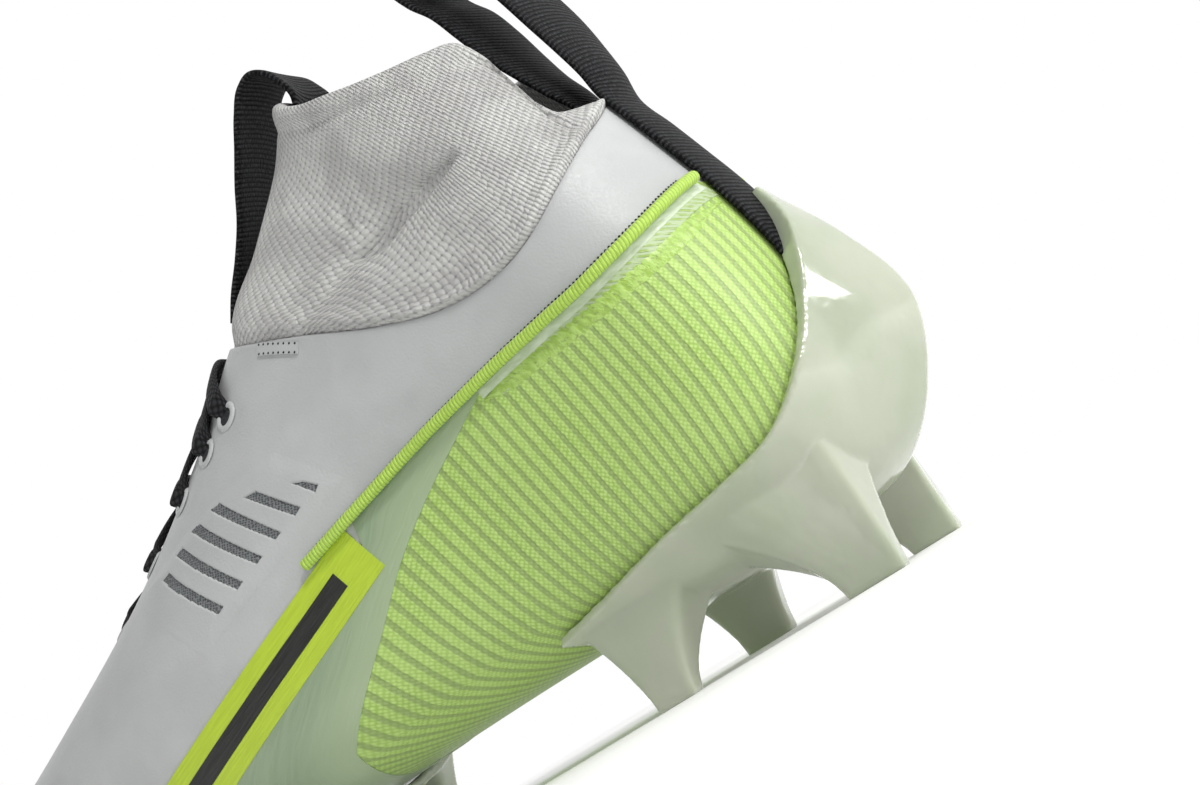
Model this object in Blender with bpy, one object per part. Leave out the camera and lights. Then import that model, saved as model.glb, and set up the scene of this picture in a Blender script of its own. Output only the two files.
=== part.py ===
"""American football cleat, left foot: knit collar, wrapped upper and a two-piece moulded sole.

Lengths are in millimetres and become metres when a mesh is made. The toe points to -X, the
outer (lateral) side of the foot faces -Y, +Z is up, and the tips of the studs stand on Z = 0.
"""

import math

import bmesh
import bpy
import numpy as np
from mathutils import Vector
from mathutils.bvhtree import BVHTree

MM = 0.001

# Driving sizes
LENGTH = 276.0
BALL_WIDTH = 97.0
FRONT_HEIGHT = 137.5
STUD_HEIGHT = 12.5
PLATE_THICKNESS = 2.6
UPPER_WALL = 1.8
COLLAR_WALL = 2.6
TONGUE_WALL = 1.8
INSOLE_THICKNESS = 3.2
GAP = 0.3
# Added to GAP where two curved, faceted surfaces follow each other.
FACET_ALLOWANCE = 0.4
HEEL_WEBBING_WIDTH = 21.0
FRONT_WEBBING_WIDTH = 17.0
WEBBING_THICKNESS = 1.6
PIPING_DIAMETER = 2.4
LACE_WIDTH = 5.5
LACE_THICKNESS = 1.8
EYELET_DIAMETER = 4.4

HEEL_BACK = 132.6
LIFT = STUD_HEIGHT + PLATE_THICKNESS + GAP + FACET_ALLOWANCE

# Sections of the last, from the toe tip back under the foot and up the heel to the collar.
# Each runs from a point on the sole or heel line to a point on the instep line. Lengths from
# the heel are shares of LENGTH, heights above the sole line are shares of FRONT_HEIGHT, and
# half breadths are shares of BALL_WIDTH. "widest" is how far up the section its full breadth
# lies; "floor" and "roof" are the exponents of its lower and upper arcs, 2 being an ellipse.
# name, sole_x, sole_z, top_x, top_z, lateral, medial, widest, floor, roof
SECTIONS = (
    ("toe tip", 1.000, 0.100, 1.000, 0.118, -0.095, 0.115, 0.50, 2.0, 2.0),
    ("toe end", 0.992, 0.073, 0.992, 0.150, 0.030, 0.235, 0.44, 2.1, 2.1),
    ("toe 1", 0.971, 0.050, 0.971, 0.189, 0.130, 0.328, 0.40, 2.3, 2.2),
    ("toe 2", 0.935, 0.032, 0.935, 0.226, 0.237, 0.407, 0.37, 2.5, 2.3),
    ("toe 3", 0.880, 0.016, 0.880, 0.264, 0.345, 0.464, 0.35, 2.7, 2.3),
    ("toe box", 0.801, 0.005, 0.801, 0.315, 0.443, 0.495, 0.33, 2.9, 2.2),
    ("ball", 0.699, 0.000, 0.699, 0.392, 0.500, 0.500, 0.30, 3.0, 2.1),
    ("waist", 0.583, 0.000, 0.581, 0.508, 0.500, 0.443, 0.28, 3.0, 1.9),
    ("low instep", 0.475, 0.002, 0.482, 0.636, 0.455, 0.363, 0.26, 2.9, 1.85),
    ("instep", 0.384, 0.004, 0.428, 0.729, 0.407, 0.328, 0.25, 2.9, 1.9),
    ("shank 1", 0.304, 0.004, 0.393, 0.795, 0.374, 0.320, 0.25, 3.0, 1.95),
    ("shank 2", 0.225, 0.003, 0.368, 0.842, 0.355, 0.325, 0.25, 3.0, 2.0),
    ("heel seat", 0.145, 0.001, 0.348, 0.878, 0.351, 0.332, 0.26, 3.0, 2.0),
    ("heel base", 0.080, 0.001, 0.332, 0.906, 0.347, 0.335, 0.28, 2.8, 2.0),
    ("heel corner", 0.034, 0.025, 0.319, 0.929, 0.344, 0.335, 0.31, 2.5, 2.0),
    ("heel 1", 0.009, 0.098, 0.311, 0.946, 0.340, 0.333, 0.34, 2.25, 2.0),
    ("heel 2", 0.000, 0.200, 0.304, 0.961, 0.334, 0.328, 0.38, 2.1, 2.0),
    ("heel 3", 0.003, 0.316, 0.299, 0.975, 0.326, 0.321, 0.42, 2.05, 2.0),
    ("heel 4", 0.015, 0.440, 0.293, 0.990, 0.313, 0.309, 0.46, 2.0, 2.0),
    ("ankle 1", 0.033, 0.556, 0.289, 1.004, 0.298, 0.295, 0.49, 2.0, 2.0),
    ("ankle 2", 0.053, 0.673, 0.284, 1.019, 0.280, 0.278, 0.50, 2.0, 2.0),
    ("ankle 3", 0.072, 0.789, 0.279, 1.034, 0.266, 0.264, 0.50, 2.0, 2.0),
    ("ankle 4", 0.090, 0.891, 0.272, 1.052, 0.258, 0.256, 0.50, 2.0, 2.0),
)
ROW = {row[0]: index for index, row in enumerate(SECTIONS)}
LAST_ROW = len(SECTIONS) - 1
FINE_ROWS = 8
FINE_RING = 48
# Points on a line drawn on the side view and on the collar's rim, and the angle from which an
# edge is sharp.
LINE_POINTS = 26
RIM_POINTS = 30
SHARP_DEGREES = 40

# The collar seam and the top edge of the collar, seen from the side, as shares of LENGTH
# from the heel and of FRONT_HEIGHT above the sole line.
SEAM_LINE = (
    (-0.060, 0.705),
    (0.042, 0.696),
    (0.053, 0.668),
    (0.058, 0.638),
    (0.069, 0.610),
    (0.094, 0.562),
    (0.116, 0.533),
    (0.140, 0.516),
    (0.176, 0.510),
    (0.217, 0.523),
    (0.266, 0.562),
    (0.331, 0.631),
    (0.391, 0.690),
    (0.430, 0.727),
    (0.470, 0.765),
)
RIM_LINE = (
    (-0.060, 0.650),
    (0.044, 0.650),
    (0.056, 0.663),
    (0.066, 0.660),
    (0.074, 0.662),
    (0.084, 0.690),
    (0.095, 0.753),
    (0.103, 0.808),
    (0.113, 0.840),
    (0.132, 0.847),
    (0.157, 0.855),
    (0.185, 0.870),
    (0.216, 0.894),
    (0.240, 0.915),
    (0.262, 0.945),
    (0.290, 1.000),
    (0.320, 1.060),
)
# The throat seen from above: shares of LENGTH from the heel, half openings in shares of
# BALL_WIDTH.
THROAT_LINE = ((0.385, 0.150), (0.440, 0.135), (0.520, 0.115), (0.600, 0.095), (0.645, 0.070), (0.665, 0.030))


def x_of(share):
    """The X of a place at this share of the length from the back of the heel."""
    return HEEL_BACK - share * LENGTH


def z_of(share):
    """The Z of a place at this share of the front height above the sole line."""
    return LIFT + share * FRONT_HEIGHT


def spline(table, at):
    """Catmull-Rom values of a table's rows at fractional row numbers."""
    table = np.asarray(table, float)
    at = np.clip(np.atleast_1d(np.asarray(at, float)), 0, len(table) - 1)
    i = np.minimum(at.astype(int), len(table) - 2)
    f = (at - i)[:, None]
    before, after = np.maximum(i - 1, 0), np.minimum(i + 2, len(table) - 1)
    p0, p1, p2, p3 = table[before], table[i], table[i + 1], table[after]
    slope1, slope2 = (p2 - p0) / 2, (p3 - p1) / 2
    return (
        (2 * f**3 - 3 * f**2 + 1) * p1
        + (f**3 - 2 * f**2 + f) * slope1
        + (3 * f**2 - 2 * f**3) * p2
        + (f**3 - f**2) * slope2
    )


def curve(points, count):
    """Evenly spaced points on a smooth curve through the given ones."""
    points = np.asarray(points, float)
    run = np.concatenate([[0], np.cumsum(np.linalg.norm(np.diff(points, axis=0), axis=1))])
    slopes = np.gradient(points, run, axis=0)
    at = np.linspace(0, run[-1], count)
    i = np.clip(np.searchsorted(run, at, side="right") - 1, 0, len(run) - 2)
    step = (run[i + 1] - run[i])[:, None]
    f = (at - run[i])[:, None] / step
    return (
        (2 * f**3 - 3 * f**2 + 1) * points[i]
        + (f**3 - 2 * f**2 + f) * step * slopes[i]
        + (3 * f**2 - 2 * f**3) * points[i + 1]
        + (f**3 - f**2) * step * slopes[i + 1]
    )


def side_line(shares, count):
    """A smooth line on the side view, from shares to (x, z) in millimetres."""
    return curve([(x_of(a), z_of(b)) for a, b in shares], count)


def half_ring(row, side):
    """Points of one side of a section, from the sole line to the instep line."""
    sole_x, sole_z, top_x, top_z, lateral, medial, widest, floor, roof = row
    middle = (medial - lateral) / 2 * BALL_WIDTH
    half = (medial + lateral) / 2 * BALL_WIDTH
    turn = np.linspace(0, math.pi, 6 * FINE_RING + 1)
    up, out = np.cos(turn), np.sin(turn)
    low = turn <= math.pi / 2
    power = np.where(low, 2 / floor, 2 / roof)
    reach = np.abs(out) ** power
    rise = np.where(low, widest * (1 - np.abs(up) ** power), widest + (1 - widest) * np.abs(up) ** power)
    x = x_of(sole_x) + rise * (x_of(top_x) - x_of(sole_x))
    z = z_of(sole_z) + rise * (z_of(top_z) - z_of(sole_z))
    points = np.stack([x, middle + side * half * reach, z], 1)
    run = np.concatenate([[0], np.cumsum(np.linalg.norm(np.diff(points, axis=0), axis=1))])
    even = np.linspace(0, run[-1], FINE_RING + 1)
    return np.stack([np.interp(even, run, points[:, k]) for k in range(3)], 1), run[-1]


def last_grid():
    """The last as a fine grid: rows along the foot, columns from the instep line down the
    lateral side, over the sole line and up the medial side. Also each side's half girth."""
    table = [row[1:] for row in SECTIONS]
    rings, girths = [], []
    for row in spline(table, np.linspace(0, LAST_ROW, LAST_ROW * FINE_ROWS + 1)):
        lateral, lateral_girth = half_ring(row, -1)
        medial, medial_girth = half_ring(row, 1)
        rings.append(np.concatenate([lateral[::-1], medial[1:]]))
        girths.append((lateral_girth, medial_girth))
    points = np.array(rings)
    along = np.gradient(points, axis=0)
    closed = np.concatenate([points[:, -2:-1], points, points[:, 1:2]], axis=1)
    around = (closed[:, 2:] - closed[:, :-2]) / 2
    normals = np.cross(around, along)
    normals /= np.maximum(np.linalg.norm(normals, axis=2, keepdims=True), 1e-9)
    return points, normals, np.array(girths)


LAST_POINTS, LAST_NORMALS, LAST_GIRTHS = last_grid()


def bilinear(grid, at, around):
    """Values of a fine grid at section numbers `at` and ring places `around`."""
    a = np.clip(np.asarray(at, float), 0, LAST_ROW) * FINE_ROWS
    b = (np.clip(np.asarray(around, float), -1, 1) + 1) * FINE_RING
    i = np.minimum(a.astype(int), grid.shape[0] - 2)
    j = np.minimum(b.astype(int), grid.shape[1] - 2)
    f, g = (a - i)[..., None], (b - j)[..., None]
    return (
        grid[i, j] * (1 - f) * (1 - g)
        + grid[i + 1, j] * f * (1 - g)
        + grid[i, j + 1] * (1 - f) * g
        + grid[i + 1, j + 1] * f * g
    )


def surface(at, around, offset=0.0):
    """Points of the last, pushed out by offset. `at` is a section number; `around` runs from
    -1 on the instep over the lateral side to 0 on the sole line and 1 on the instep again."""
    normals = bilinear(LAST_NORMALS, at, around)
    normals /= np.linalg.norm(normals, axis=-1, keepdims=True)
    return bilinear(LAST_POINTS, at, around) + normals * np.asarray(offset)[..., None]


def place_of(arc, at):
    """The ring place that lies this far along the surface from the sole line; lateral arcs
    are negative."""
    arc, at = np.broadcast_arrays(np.asarray(arc, float), np.asarray(at, float))
    rows = np.arange(len(LAST_GIRTHS)) / FINE_ROWS
    lateral = np.interp(at, rows, LAST_GIRTHS[:, 0])
    medial = np.interp(at, rows, LAST_GIRTHS[:, 1])
    return arc / np.where(arc < 0, lateral, medial)


def over_instep(at, arc, offset):
    """Points of the last by their distance along the surface from the instep line; lateral
    distances are negative."""
    rows = np.arange(len(LAST_GIRTHS)) / FINE_ROWS
    lateral = np.interp(at, rows, LAST_GIRTHS[:, 0])
    medial = np.interp(at, rows, LAST_GIRTHS[:, 1])
    return surface(at, np.where(arc < 0, -1 - arc / lateral, 1 - arc / medial), offset)


def sheet_faces(rows, columns, wrap):
    """Quads of a grid of points, first index along the rows."""
    last = columns if wrap else columns - 1
    return [
        (r * columns + c, r * columns + (c + 1) % columns, (r + 1) * columns + (c + 1) % columns, (r + 1) * columns + c)
        for r in range(rows - 1)
        for c in range(last)
    ]


def last_tree():
    """A search tree of the last's faces."""
    rows, columns = LAST_POINTS.shape[:2]
    return BVHTree.FromPolygons(LAST_POINTS.reshape(-1, 3).tolist(), sheet_faces(rows, columns, False))


LAST_TREE = last_tree()


def under_foot(x, y, climb, offset):
    """The point of the last nearest this place on the plan, seen from `climb` above the
    sole line, pushed out by offset."""
    point, normal, _, _ = LAST_TREE.find_nearest(Vector((x, y, LIFT + 2 + climb)))
    centre = Vector((point.x, 0, LIFT + FRONT_HEIGHT / 4))
    normal = normal if normal.dot(point - centre) > 0 else -normal
    return point + normal * offset


def on_side(x, z, side, offset):
    """The point of the last seen at (x, z) from one side, pushed out by offset."""
    point, normal, _, _ = LAST_TREE.ray_cast(Vector((x, side * FRONT_HEIGHT, z)), Vector((0, -side, 0)))
    normal = normal if normal.y * side > 0 else -normal
    return point + normal * offset


def new_object(name, verts, faces, material=None):
    """A mesh object from points in millimetres, its faces turned outwards."""
    mesh = bpy.data.meshes.new(name)
    mesh.from_pydata([Vector(v) * MM for v in np.asarray(verts, float).tolist()], [], faces)
    obj = bpy.data.objects.new(name, mesh)
    bpy.context.scene.collection.objects.link(obj)
    bm = bmesh.new()
    bm.from_mesh(mesh)
    bmesh.ops.recalc_face_normals(bm, faces=bm.faces)
    bm.to_mesh(mesh)
    bm.free()
    if material:
        mesh.materials.append(material)
    mesh.shade_smooth()
    mesh.set_sharp_from_angle(angle=math.radians(SHARP_DEGREES))
    return obj


def thick_sheet(name, outer, inner, material, wrap=False, closed_start=False, holes=None):
    """A solid between two grids of points. `wrap` joins the last column to the first,
    `closed_start` caps the first row, and `holes` is a set of cells left open."""
    rows, columns = outer.shape[:2]
    verts = np.concatenate([outer.reshape(-1, 3), inner.reshape(-1, 3)])
    shift = rows * columns
    width = columns if wrap else columns - 1
    quads = sheet_faces(rows, columns, wrap)
    kept = [q for k, q in enumerate(quads) if not holes or (k // width, k % width) not in holes]
    if closed_start:
        kept.append(tuple(range(columns))[::-1])
    faces = kept + [tuple(v + shift for v in q[::-1]) for q in kept]
    count = {}
    for q in kept:
        for a, b in zip(q, q[1:] + q[:1]):
            count[(a, b)] = True
    for a, b in list(count):
        if (b, a) not in count:
            faces.append((b, a, a + shift, b + shift))
    return new_object(name, verts, faces, material)


def prism(name, outline, axis, low, high):
    """A hidden cutter: an outline in the plane across `axis`, drawn from low to high."""
    count = len(outline)
    ends = []
    for level in (low, high):
        for first, second in outline:
            point = {"X": (level, first, second), "Y": (first, level, second), "Z": (first, second, level)}[axis]
            ends.append(point)
    faces = [tuple(range(count)), tuple(range(2 * count - 1, count - 1, -1))]
    faces += [(i, (i + 1) % count, (i + 1) % count + count, i + count) for i in range(count)]
    return helper(new_object(name, ends, faces))


def helper(obj):
    """Marks an object as a cutter or a joined-in shape that isn't a piece itself."""
    obj.hide_render = True
    obj.display_type = "WIRE"
    return obj


def combine(obj, tool, operation):
    """Adds an exact Boolean of a helper to an object."""
    modifier = obj.modifiers.new(f"{operation} {tool.name}", "BOOLEAN")
    modifier.operation = operation
    modifier.solver = "EXACT"
    modifier.object = tool


def finish(name, colour, roughness, metallic=0.0, transmission=0.0):
    """A plain Principled material."""
    material = bpy.data.materials.new(name)
    material.use_nodes = True
    shader = material.node_tree.nodes["Principled BSDF"]
    shader.inputs["Base Color"].default_value = (*colour, 1.0)
    shader.inputs["Roughness"].default_value = roughness
    shader.inputs["Metallic"].default_value = metallic
    shader.inputs["Transmission Weight"].default_value = transmission
    return material


# Upper
UPPER_RING = 28
UPPER_STATIONS = 32
UPPER_TOP_SECTION = ROW["ankle 2"] + 0.6
# Openings under the foot, closed by the two sole plates: first and last section and the
# share of the half girth that stays open on each side of the sole line.
SOLE_OPENINGS = (("toe 2", "waist", 0.36), ("shank 2", "heel base", 0.15))
SIDE_REACH = 90.0
HIGH = 220.0
THROAT_POINTS = 12
THROAT_FLOOR = 0.2


def ring_places(count):
    """Evenly spaced ring places, starting on the instep."""
    return np.linspace(-1, 1, count, endpoint=False)


def shell(name, stations, ring, outer, inner, material, closed_start=False, holes=None):
    """A tube-like wall along the last between two offsets from its surface."""
    at, around = np.meshgrid(stations, ring_places(ring), indexing="ij")
    return thick_sheet(
        name, surface(at, around, outer), surface(at, around, inner), material, True, closed_start, holes
    )


def opening_cells(stations, ring):
    """The cells of the upper's grid that lie in the openings under the foot."""
    places = ring_places(ring) + 1 / ring
    cells = set()
    for first, last, share in SOLE_OPENINGS:
        for r in range(len(stations) - 1):
            inside = ROW[first] - 0.01 <= stations[r] and stations[r + 1] <= ROW[last] + 0.01
            cells |= {(r, c) for c, place in enumerate(places) if inside and abs(place) < share}
    return cells


def above(name, line):
    """A cutter for all that lies above a line drawn on the side view."""
    outline = list(line) + [(line[-1][0], HIGH), (line[0][0], HIGH)]
    return prism(name, outline, "Y", -SIDE_REACH, SIDE_REACH)


def below(name, line):
    """A cutter for all that lies under a line drawn on the side view."""
    outline = list(line) + [(line[-1][0], -HIGH), (line[0][0], -HIGH)]
    return prism(name, outline, "Y", -SIDE_REACH, SIDE_REACH)


def throat_cutter():
    """A cutter for the throat, from the collar seam forward along the instep."""
    line = spline(THROAT_LINE, np.linspace(0, len(THROAT_LINE) - 1, THROAT_POINTS))
    middle = spline([row[1:] for row in SECTIONS], [ROW["low instep"]])[0]
    centre = (middle[5] - middle[4]) / 2 * BALL_WIDTH / 2
    lateral = [(x_of(a), centre - b * BALL_WIDTH) for a, b in line]
    medial = [(x_of(a), centre + b * BALL_WIDTH) for a, b in line]
    return prism("throat cutter", lateral + medial[::-1], "Z", z_of(THROAT_FLOOR), HIGH)


# Eyelets: section number and arc from the instep line in millimetres, a row for each pair.
EYELET_PAIRS = 5
EYELET_SECTIONS = (ROW["waist"] - 0.35, ROW["instep"] - 0.05)
EYELET_ARCS = (17.0, 28.0)
EYELET_SIDES = 10
EYELET_PUNCH = 3 * UPPER_WALL


def eyelet_place(pair, side):
    """An eyelet's section number and its distance from the instep line."""
    share = pair / (EYELET_PAIRS - 1)
    return np.interp(share, (0, 1), EYELET_SECTIONS), side * np.interp(share, (0, 1), EYELET_ARCS)


def eyelet(pair, side, offset=0.0):
    """A point on an eyelet's axis. Pair 0 is the one nearest the toe; side -1 is lateral."""
    at, arc = eyelet_place(pair, side)
    return over_instep(np.array([at]), np.array([arc]), offset)[0]


def eyelet_cutters(name):
    """Round punches through the wall, all in one hidden mesh."""
    verts, faces = [], []
    for pair in range(EYELET_PAIRS):
        for side in (-1, 1):
            outer, inner = (Vector(eyelet(pair, side, s)) for s in (EYELET_PUNCH, -EYELET_PUNCH))
            axis = (outer - inner).normalized()
            across = axis.cross(Vector((1, 0, 0))).normalized()
            up = axis.cross(across)
            first = len(verts)
            for end in (inner, outer):
                for k in range(EYELET_SIDES):
                    turn = 2 * math.pi * k / EYELET_SIDES
                    verts.append(end + (across * math.cos(turn) + up * math.sin(turn)) * EYELET_DIAMETER / 2)
            ring = range(EYELET_SIDES)
            faces.append(tuple(first + k for k in ring))
            faces.append(tuple(first + EYELET_SIDES + k for k in reversed(ring)))
            for k in ring:
                after = (k + 1) % EYELET_SIDES
                faces.append((first + k, first + after, first + EYELET_SIDES + after, first + EYELET_SIDES + k))
    return helper(new_object(name, verts, faces))


def make_upper(material):
    """The wrapped upper: one wall, open at the collar seam, the throat and over the plates."""
    stations = np.linspace(0, UPPER_TOP_SECTION, UPPER_STATIONS)
    for first, last, _ in SOLE_OPENINGS:
        for name in (first, last):
            stations[np.abs(stations - ROW[name]).argmin()] = ROW[name]
    holes = opening_cells(stations, UPPER_RING)
    upper = shell("upper", stations, UPPER_RING, 0.0, -UPPER_WALL, material, True, holes)
    combine(upper, above("above the seam", side_line(SEAM_LINE, LINE_POINTS)), "DIFFERENCE")
    combine(upper, throat_cutter(), "DIFFERENCE")
    combine(upper, eyelet_cutters("eyelet punches"), "DIFFERENCE")
    return upper


# Collar and tongue, knitted in one
COLLAR_RING = 28
COLLAR_STATIONS = 16
COLLAR_SECTIONS = (ROW["instep"], LAST_ROW)
TONGUE_SECTIONS = (ROW["ball"] + 0.15, ROW["shank 1"] + 0.5)
TONGUE_ARC = 30.0
TONGUE_COLUMNS = 8
TONGUE_ROWS = 10


def shifted(line, by):
    """A side-view line running forward, moved this far to its upper side."""
    line = np.asarray(line, float)
    along = np.gradient(line, axis=0)
    along /= np.linalg.norm(along, axis=1, keepdims=True)
    return line + by * np.stack([along[:, 1], -along[:, 0]], 1)


def make_collar(material):
    """The knit collar, with its tongue running forward under the throat."""
    stations = np.linspace(*COLLAR_SECTIONS, COLLAR_STATIONS)
    collar = shell("collar_tongue", stations, COLLAR_RING, 0.0, -COLLAR_WALL, material)
    combine(collar, below("below the seam", shifted(side_line(SEAM_LINE, LINE_POINTS), GAP).tolist()), "DIFFERENCE")
    combine(collar, above("above the rim", side_line(RIM_LINE, RIM_POINTS)), "DIFFERENCE")
    combine(collar, make_tongue(material), "UNION")
    return collar


def make_tongue(material):
    """The tongue: a strip of the last under the throat, clear of the upper's inside."""
    at, arc = np.meshgrid(
        np.linspace(*TONGUE_SECTIONS, TONGUE_ROWS), np.linspace(-TONGUE_ARC, TONGUE_ARC, TONGUE_COLUMNS), indexing="ij"
    )
    top = UPPER_WALL + GAP + FACET_ALLOWANCE
    outer = over_instep(at, arc, -top)
    inner = over_instep(at, arc, -top - TONGUE_WALL)
    return helper(thick_sheet("tongue", outer, inner, material))


# Insole
INSOLE_RING = 24
INSOLE_STATIONS = 22
INSOLE_SECTIONS = (0.25, ROW["heel 4"])
INSOLE_CLEARANCE = GAP + 3 * FACET_ALLOWANCE
INSOLE_LINE_POINTS = 16
INSOLE_CUT_OVERRUN = 20.0


def make_insole(material):
    """The insole: the lowest slice of the space inside the upper."""
    stations = np.linspace(*INSOLE_SECTIONS, INSOLE_STATIONS)
    at, around = np.meshgrid(stations, ring_places(INSOLE_RING), indexing="ij")
    rings = surface(at, around, -(UPPER_WALL + INSOLE_CLEARANCE))
    count = len(stations)
    faces = sheet_faces(count, INSOLE_RING, True)
    faces.append(tuple(range(INSOLE_RING))[::-1])
    faces.append(tuple((count - 1) * INSOLE_RING + k for k in range(INSOLE_RING)))
    insole = new_object("insole", rings.reshape(-1, 3), faces, material)
    line = []
    for at in np.linspace(0, ROW["heel base"], INSOLE_LINE_POINTS):
        x, _, z = surface(np.array([at]), np.array([0.0]))[0]
        line.append((x, z + UPPER_WALL + GAP + INSOLE_THICKNESS))
    line[0] = (line[0][0] - INSOLE_CUT_OVERRUN, line[0][1])
    line.append((HEEL_BACK + INSOLE_CUT_OVERRUN, line[-1][1]))
    combine(insole, above("above the insole", line), "DIFFERENCE")
    return insole


# Sole plates. Each is a patch of the last: an arc each side of the sole line for each
# section, with a thickness. The heel plate's back swells into a beaked keel.
# section, lateral_arc, medial_arc, thickness, keel
HEEL_PLATE = (
    ("shank 1", 27.0, 27.0, 1.0, 0.0),
    ("shank 2", 30.5, 30.5, 1.0, 0.0),
    ("heel seat", 35.2, 35.2, 1.0, 0.0),
    ("heel base", 37.0, 37.0, 1.0, 0.0),
    ("heel corner", 34.6, 34.6, 1.05, 1.3),
    ("heel 1", 28.4, 28.4, 1.1, 5.4),
    ("heel 2", 19.4, 19.4, 1.15, 9.7),
    ("heel 3", 10.6, 10.6, 1.15, 5.4),
    ("heel 4", 1.0, 1.0, 1.0, 0.3),
)
KEEL_HALF_WIDTH = 17.0
KEEL_SHARPNESS = 1.25
# The section where a plate's inner end starts at its corners, how many sections it is drawn
# back in the middle, and the exponent of that hollow.
HEEL_PLATE_FRONT = (ROW["shank 1"] + 0.50, 0.55)
HOLLOW_ROUNDNESS = 0.8
FOREFOOT_PLATE = (
    ("toe tip", 1.2, 1.2, 0.9, 0.0),
    ("toe end", 14.5, 14.5, 0.95, 0.0),
    ("toe 1", 26.0, 26.0, 1.0, 0.0),
    ("toe 2", 36.0, 36.0, 1.0, 0.0),
    ("toe 3", 44.0, 44.0, 1.0, 0.0),
    ("toe box", 50.0, 50.0, 1.0, 0.0),
    ("ball", 52.0, 52.0, 1.0, 0.0),
    ("waist", 47.0, 46.0, 1.0, 0.0),
    ("low instep", 40.0, 38.0, 0.9, 0.0),
)
FOREFOOT_PLATE_BACK = (ROW["waist"] + 0.75, 0.45)
FOREFOOT_PLATE_TOE = 0.02
HEEL_PLATE_GRID = (20, 15)
FOREFOOT_PLATE_GRID = (15, 18)


def plate_patch(table, ends, rows, columns):
    """Section numbers, ring places, thickness and keel of a plate's grid. `ends` gives the
    first and last section at each column."""
    first_row = ROW[table[0][0]]
    values = [row[1:] for row in table]
    across = np.linspace(-1, 1, columns)
    share = np.linspace(0, 1, rows)[:, None]
    at = ends[0](across) * (1 - share) + ends[1](across) * share
    flat = spline(values, (at - first_row).ravel()).reshape(*at.shape, -1)
    arc = np.where(across < 0, across * flat[..., 0], across * flat[..., 1])
    spread = np.clip(1 - np.abs(arc) / KEEL_HALF_WIDTH, 0, 1)
    thickness = PLATE_THICKNESS * flat[..., 2] + flat[..., 3] * spread**KEEL_SHARPNESS
    return at, place_of(arc, at), thickness


def heel_plate_grid(rows, columns):
    """The heel plate's outer and inner grids; its front edge is drawn back in the middle."""
    edge, hollow = HEEL_PLATE_FRONT
    ends = (
        lambda across: edge + hollow * (1 - across**2) ** HOLLOW_ROUNDNESS,
        lambda across: ROW["heel 4"] + 0 * across,
    )
    at, around, thickness = plate_patch(HEEL_PLATE, ends, rows, columns)
    inner = GAP + FACET_ALLOWANCE
    return surface(at, around, inner + thickness), surface(at, around, inner)


def forefoot_plate_grid(rows, columns):
    """The forefoot plate's outer and inner grids; its rear edge is drawn forward."""
    edge, hollow = FOREFOOT_PLATE_BACK
    ends = (
        lambda across: FOREFOOT_PLATE_TOE + 0 * across,
        lambda across: edge - hollow * (1 - across**2) ** HOLLOW_ROUNDNESS,
    )
    at, around, thickness = plate_patch(FOREFOOT_PLATE, ends, rows, columns)
    inner = GAP + 2 * FACET_ALLOWANCE
    return surface(at, around, inner + thickness), surface(at, around, inner)


# Studs, a row each: where the tip's middle lies as a share of LENGTH from the heel and of
# BALL_WIDTH from the axis (lateral negative), the tip's length and width, how much further
# the stud reaches at the plate to the front, back, inner and outer side, how far up the
# side wall its outer face climbs, and the turn of its long side in degrees.
# name, along, across, length, width, front, back, inward, outward, climb, turn
HEEL_STUDS = (
    ("heel rear lateral", 0.056, -0.258, 12.5, 4.8, 17.0, 6.0, 6.0, 6.5, 10.0, 0),
    ("heel rear medial", 0.056, 0.258, 11.5, 4.8, 12.0, 6.0, 6.0, 6.5, 10.0, 0),
    ("heel front lateral", 0.220, -0.262, 9.0, 5.0, 5.0, 11.0, 6.0, 5.0, 3.0, 0),
    ("heel front medial", 0.210, 0.258, 12.0, 5.0, 4.0, 6.0, 6.0, 5.0, 3.0, 0),
)
FOREFOOT_STUDS = (
    ("ball rear lateral", 0.560, -0.410, 10.5, 5.0, 4.0, 8.0, 5.0, 4.0, 4.0, 12),
    ("ball rear medial", 0.575, 0.350, 10.5, 5.0, 4.0, 8.0, 5.0, 4.0, 4.0, -12),
    ("ball lateral", 0.665, -0.415, 10.5, 5.0, 5.0, 6.0, 5.0, 4.0, 4.0, 5),
    ("ball medial", 0.690, 0.410, 10.5, 5.0, 5.0, 6.0, 5.0, 4.0, 4.0, -5),
    ("toe rear lateral", 0.775, -0.365, 10.0, 5.0, 5.0, 5.0, 5.0, 4.0, 4.0, -14),
    ("toe rear medial", 0.800, 0.400, 10.0, 5.0, 5.0, 5.0, 5.0, 4.0, 4.0, 12),
    ("toe lateral", 0.865, -0.215, 9.5, 5.0, 4.0, 5.0, 4.0, 3.0, 3.0, -40),
    ("toe medial", 0.895, 0.300, 9.5, 5.0, 4.0, 5.0, 4.0, 3.0, 3.0, 36),
    ("middle rear", 0.625, 0.000, 9.0, 4.5, 4.0, 4.0, 3.5, 3.5, 0.0, 0),
    ("middle front", 0.745, 0.020, 9.0, 4.5, 4.0, 4.0, 3.5, 3.5, 0.0, 0),
)
STUD_LEVELS = 4
STUD_SIDES = 10
STUD_SQUARENESS = 0.45
# How far into the plate a stud's root lies, as a share of the plate's thickness from its
# top, and the exponent of its flare.
STUD_BITE = 0.65
STUD_FLARE = 1.6


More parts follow.
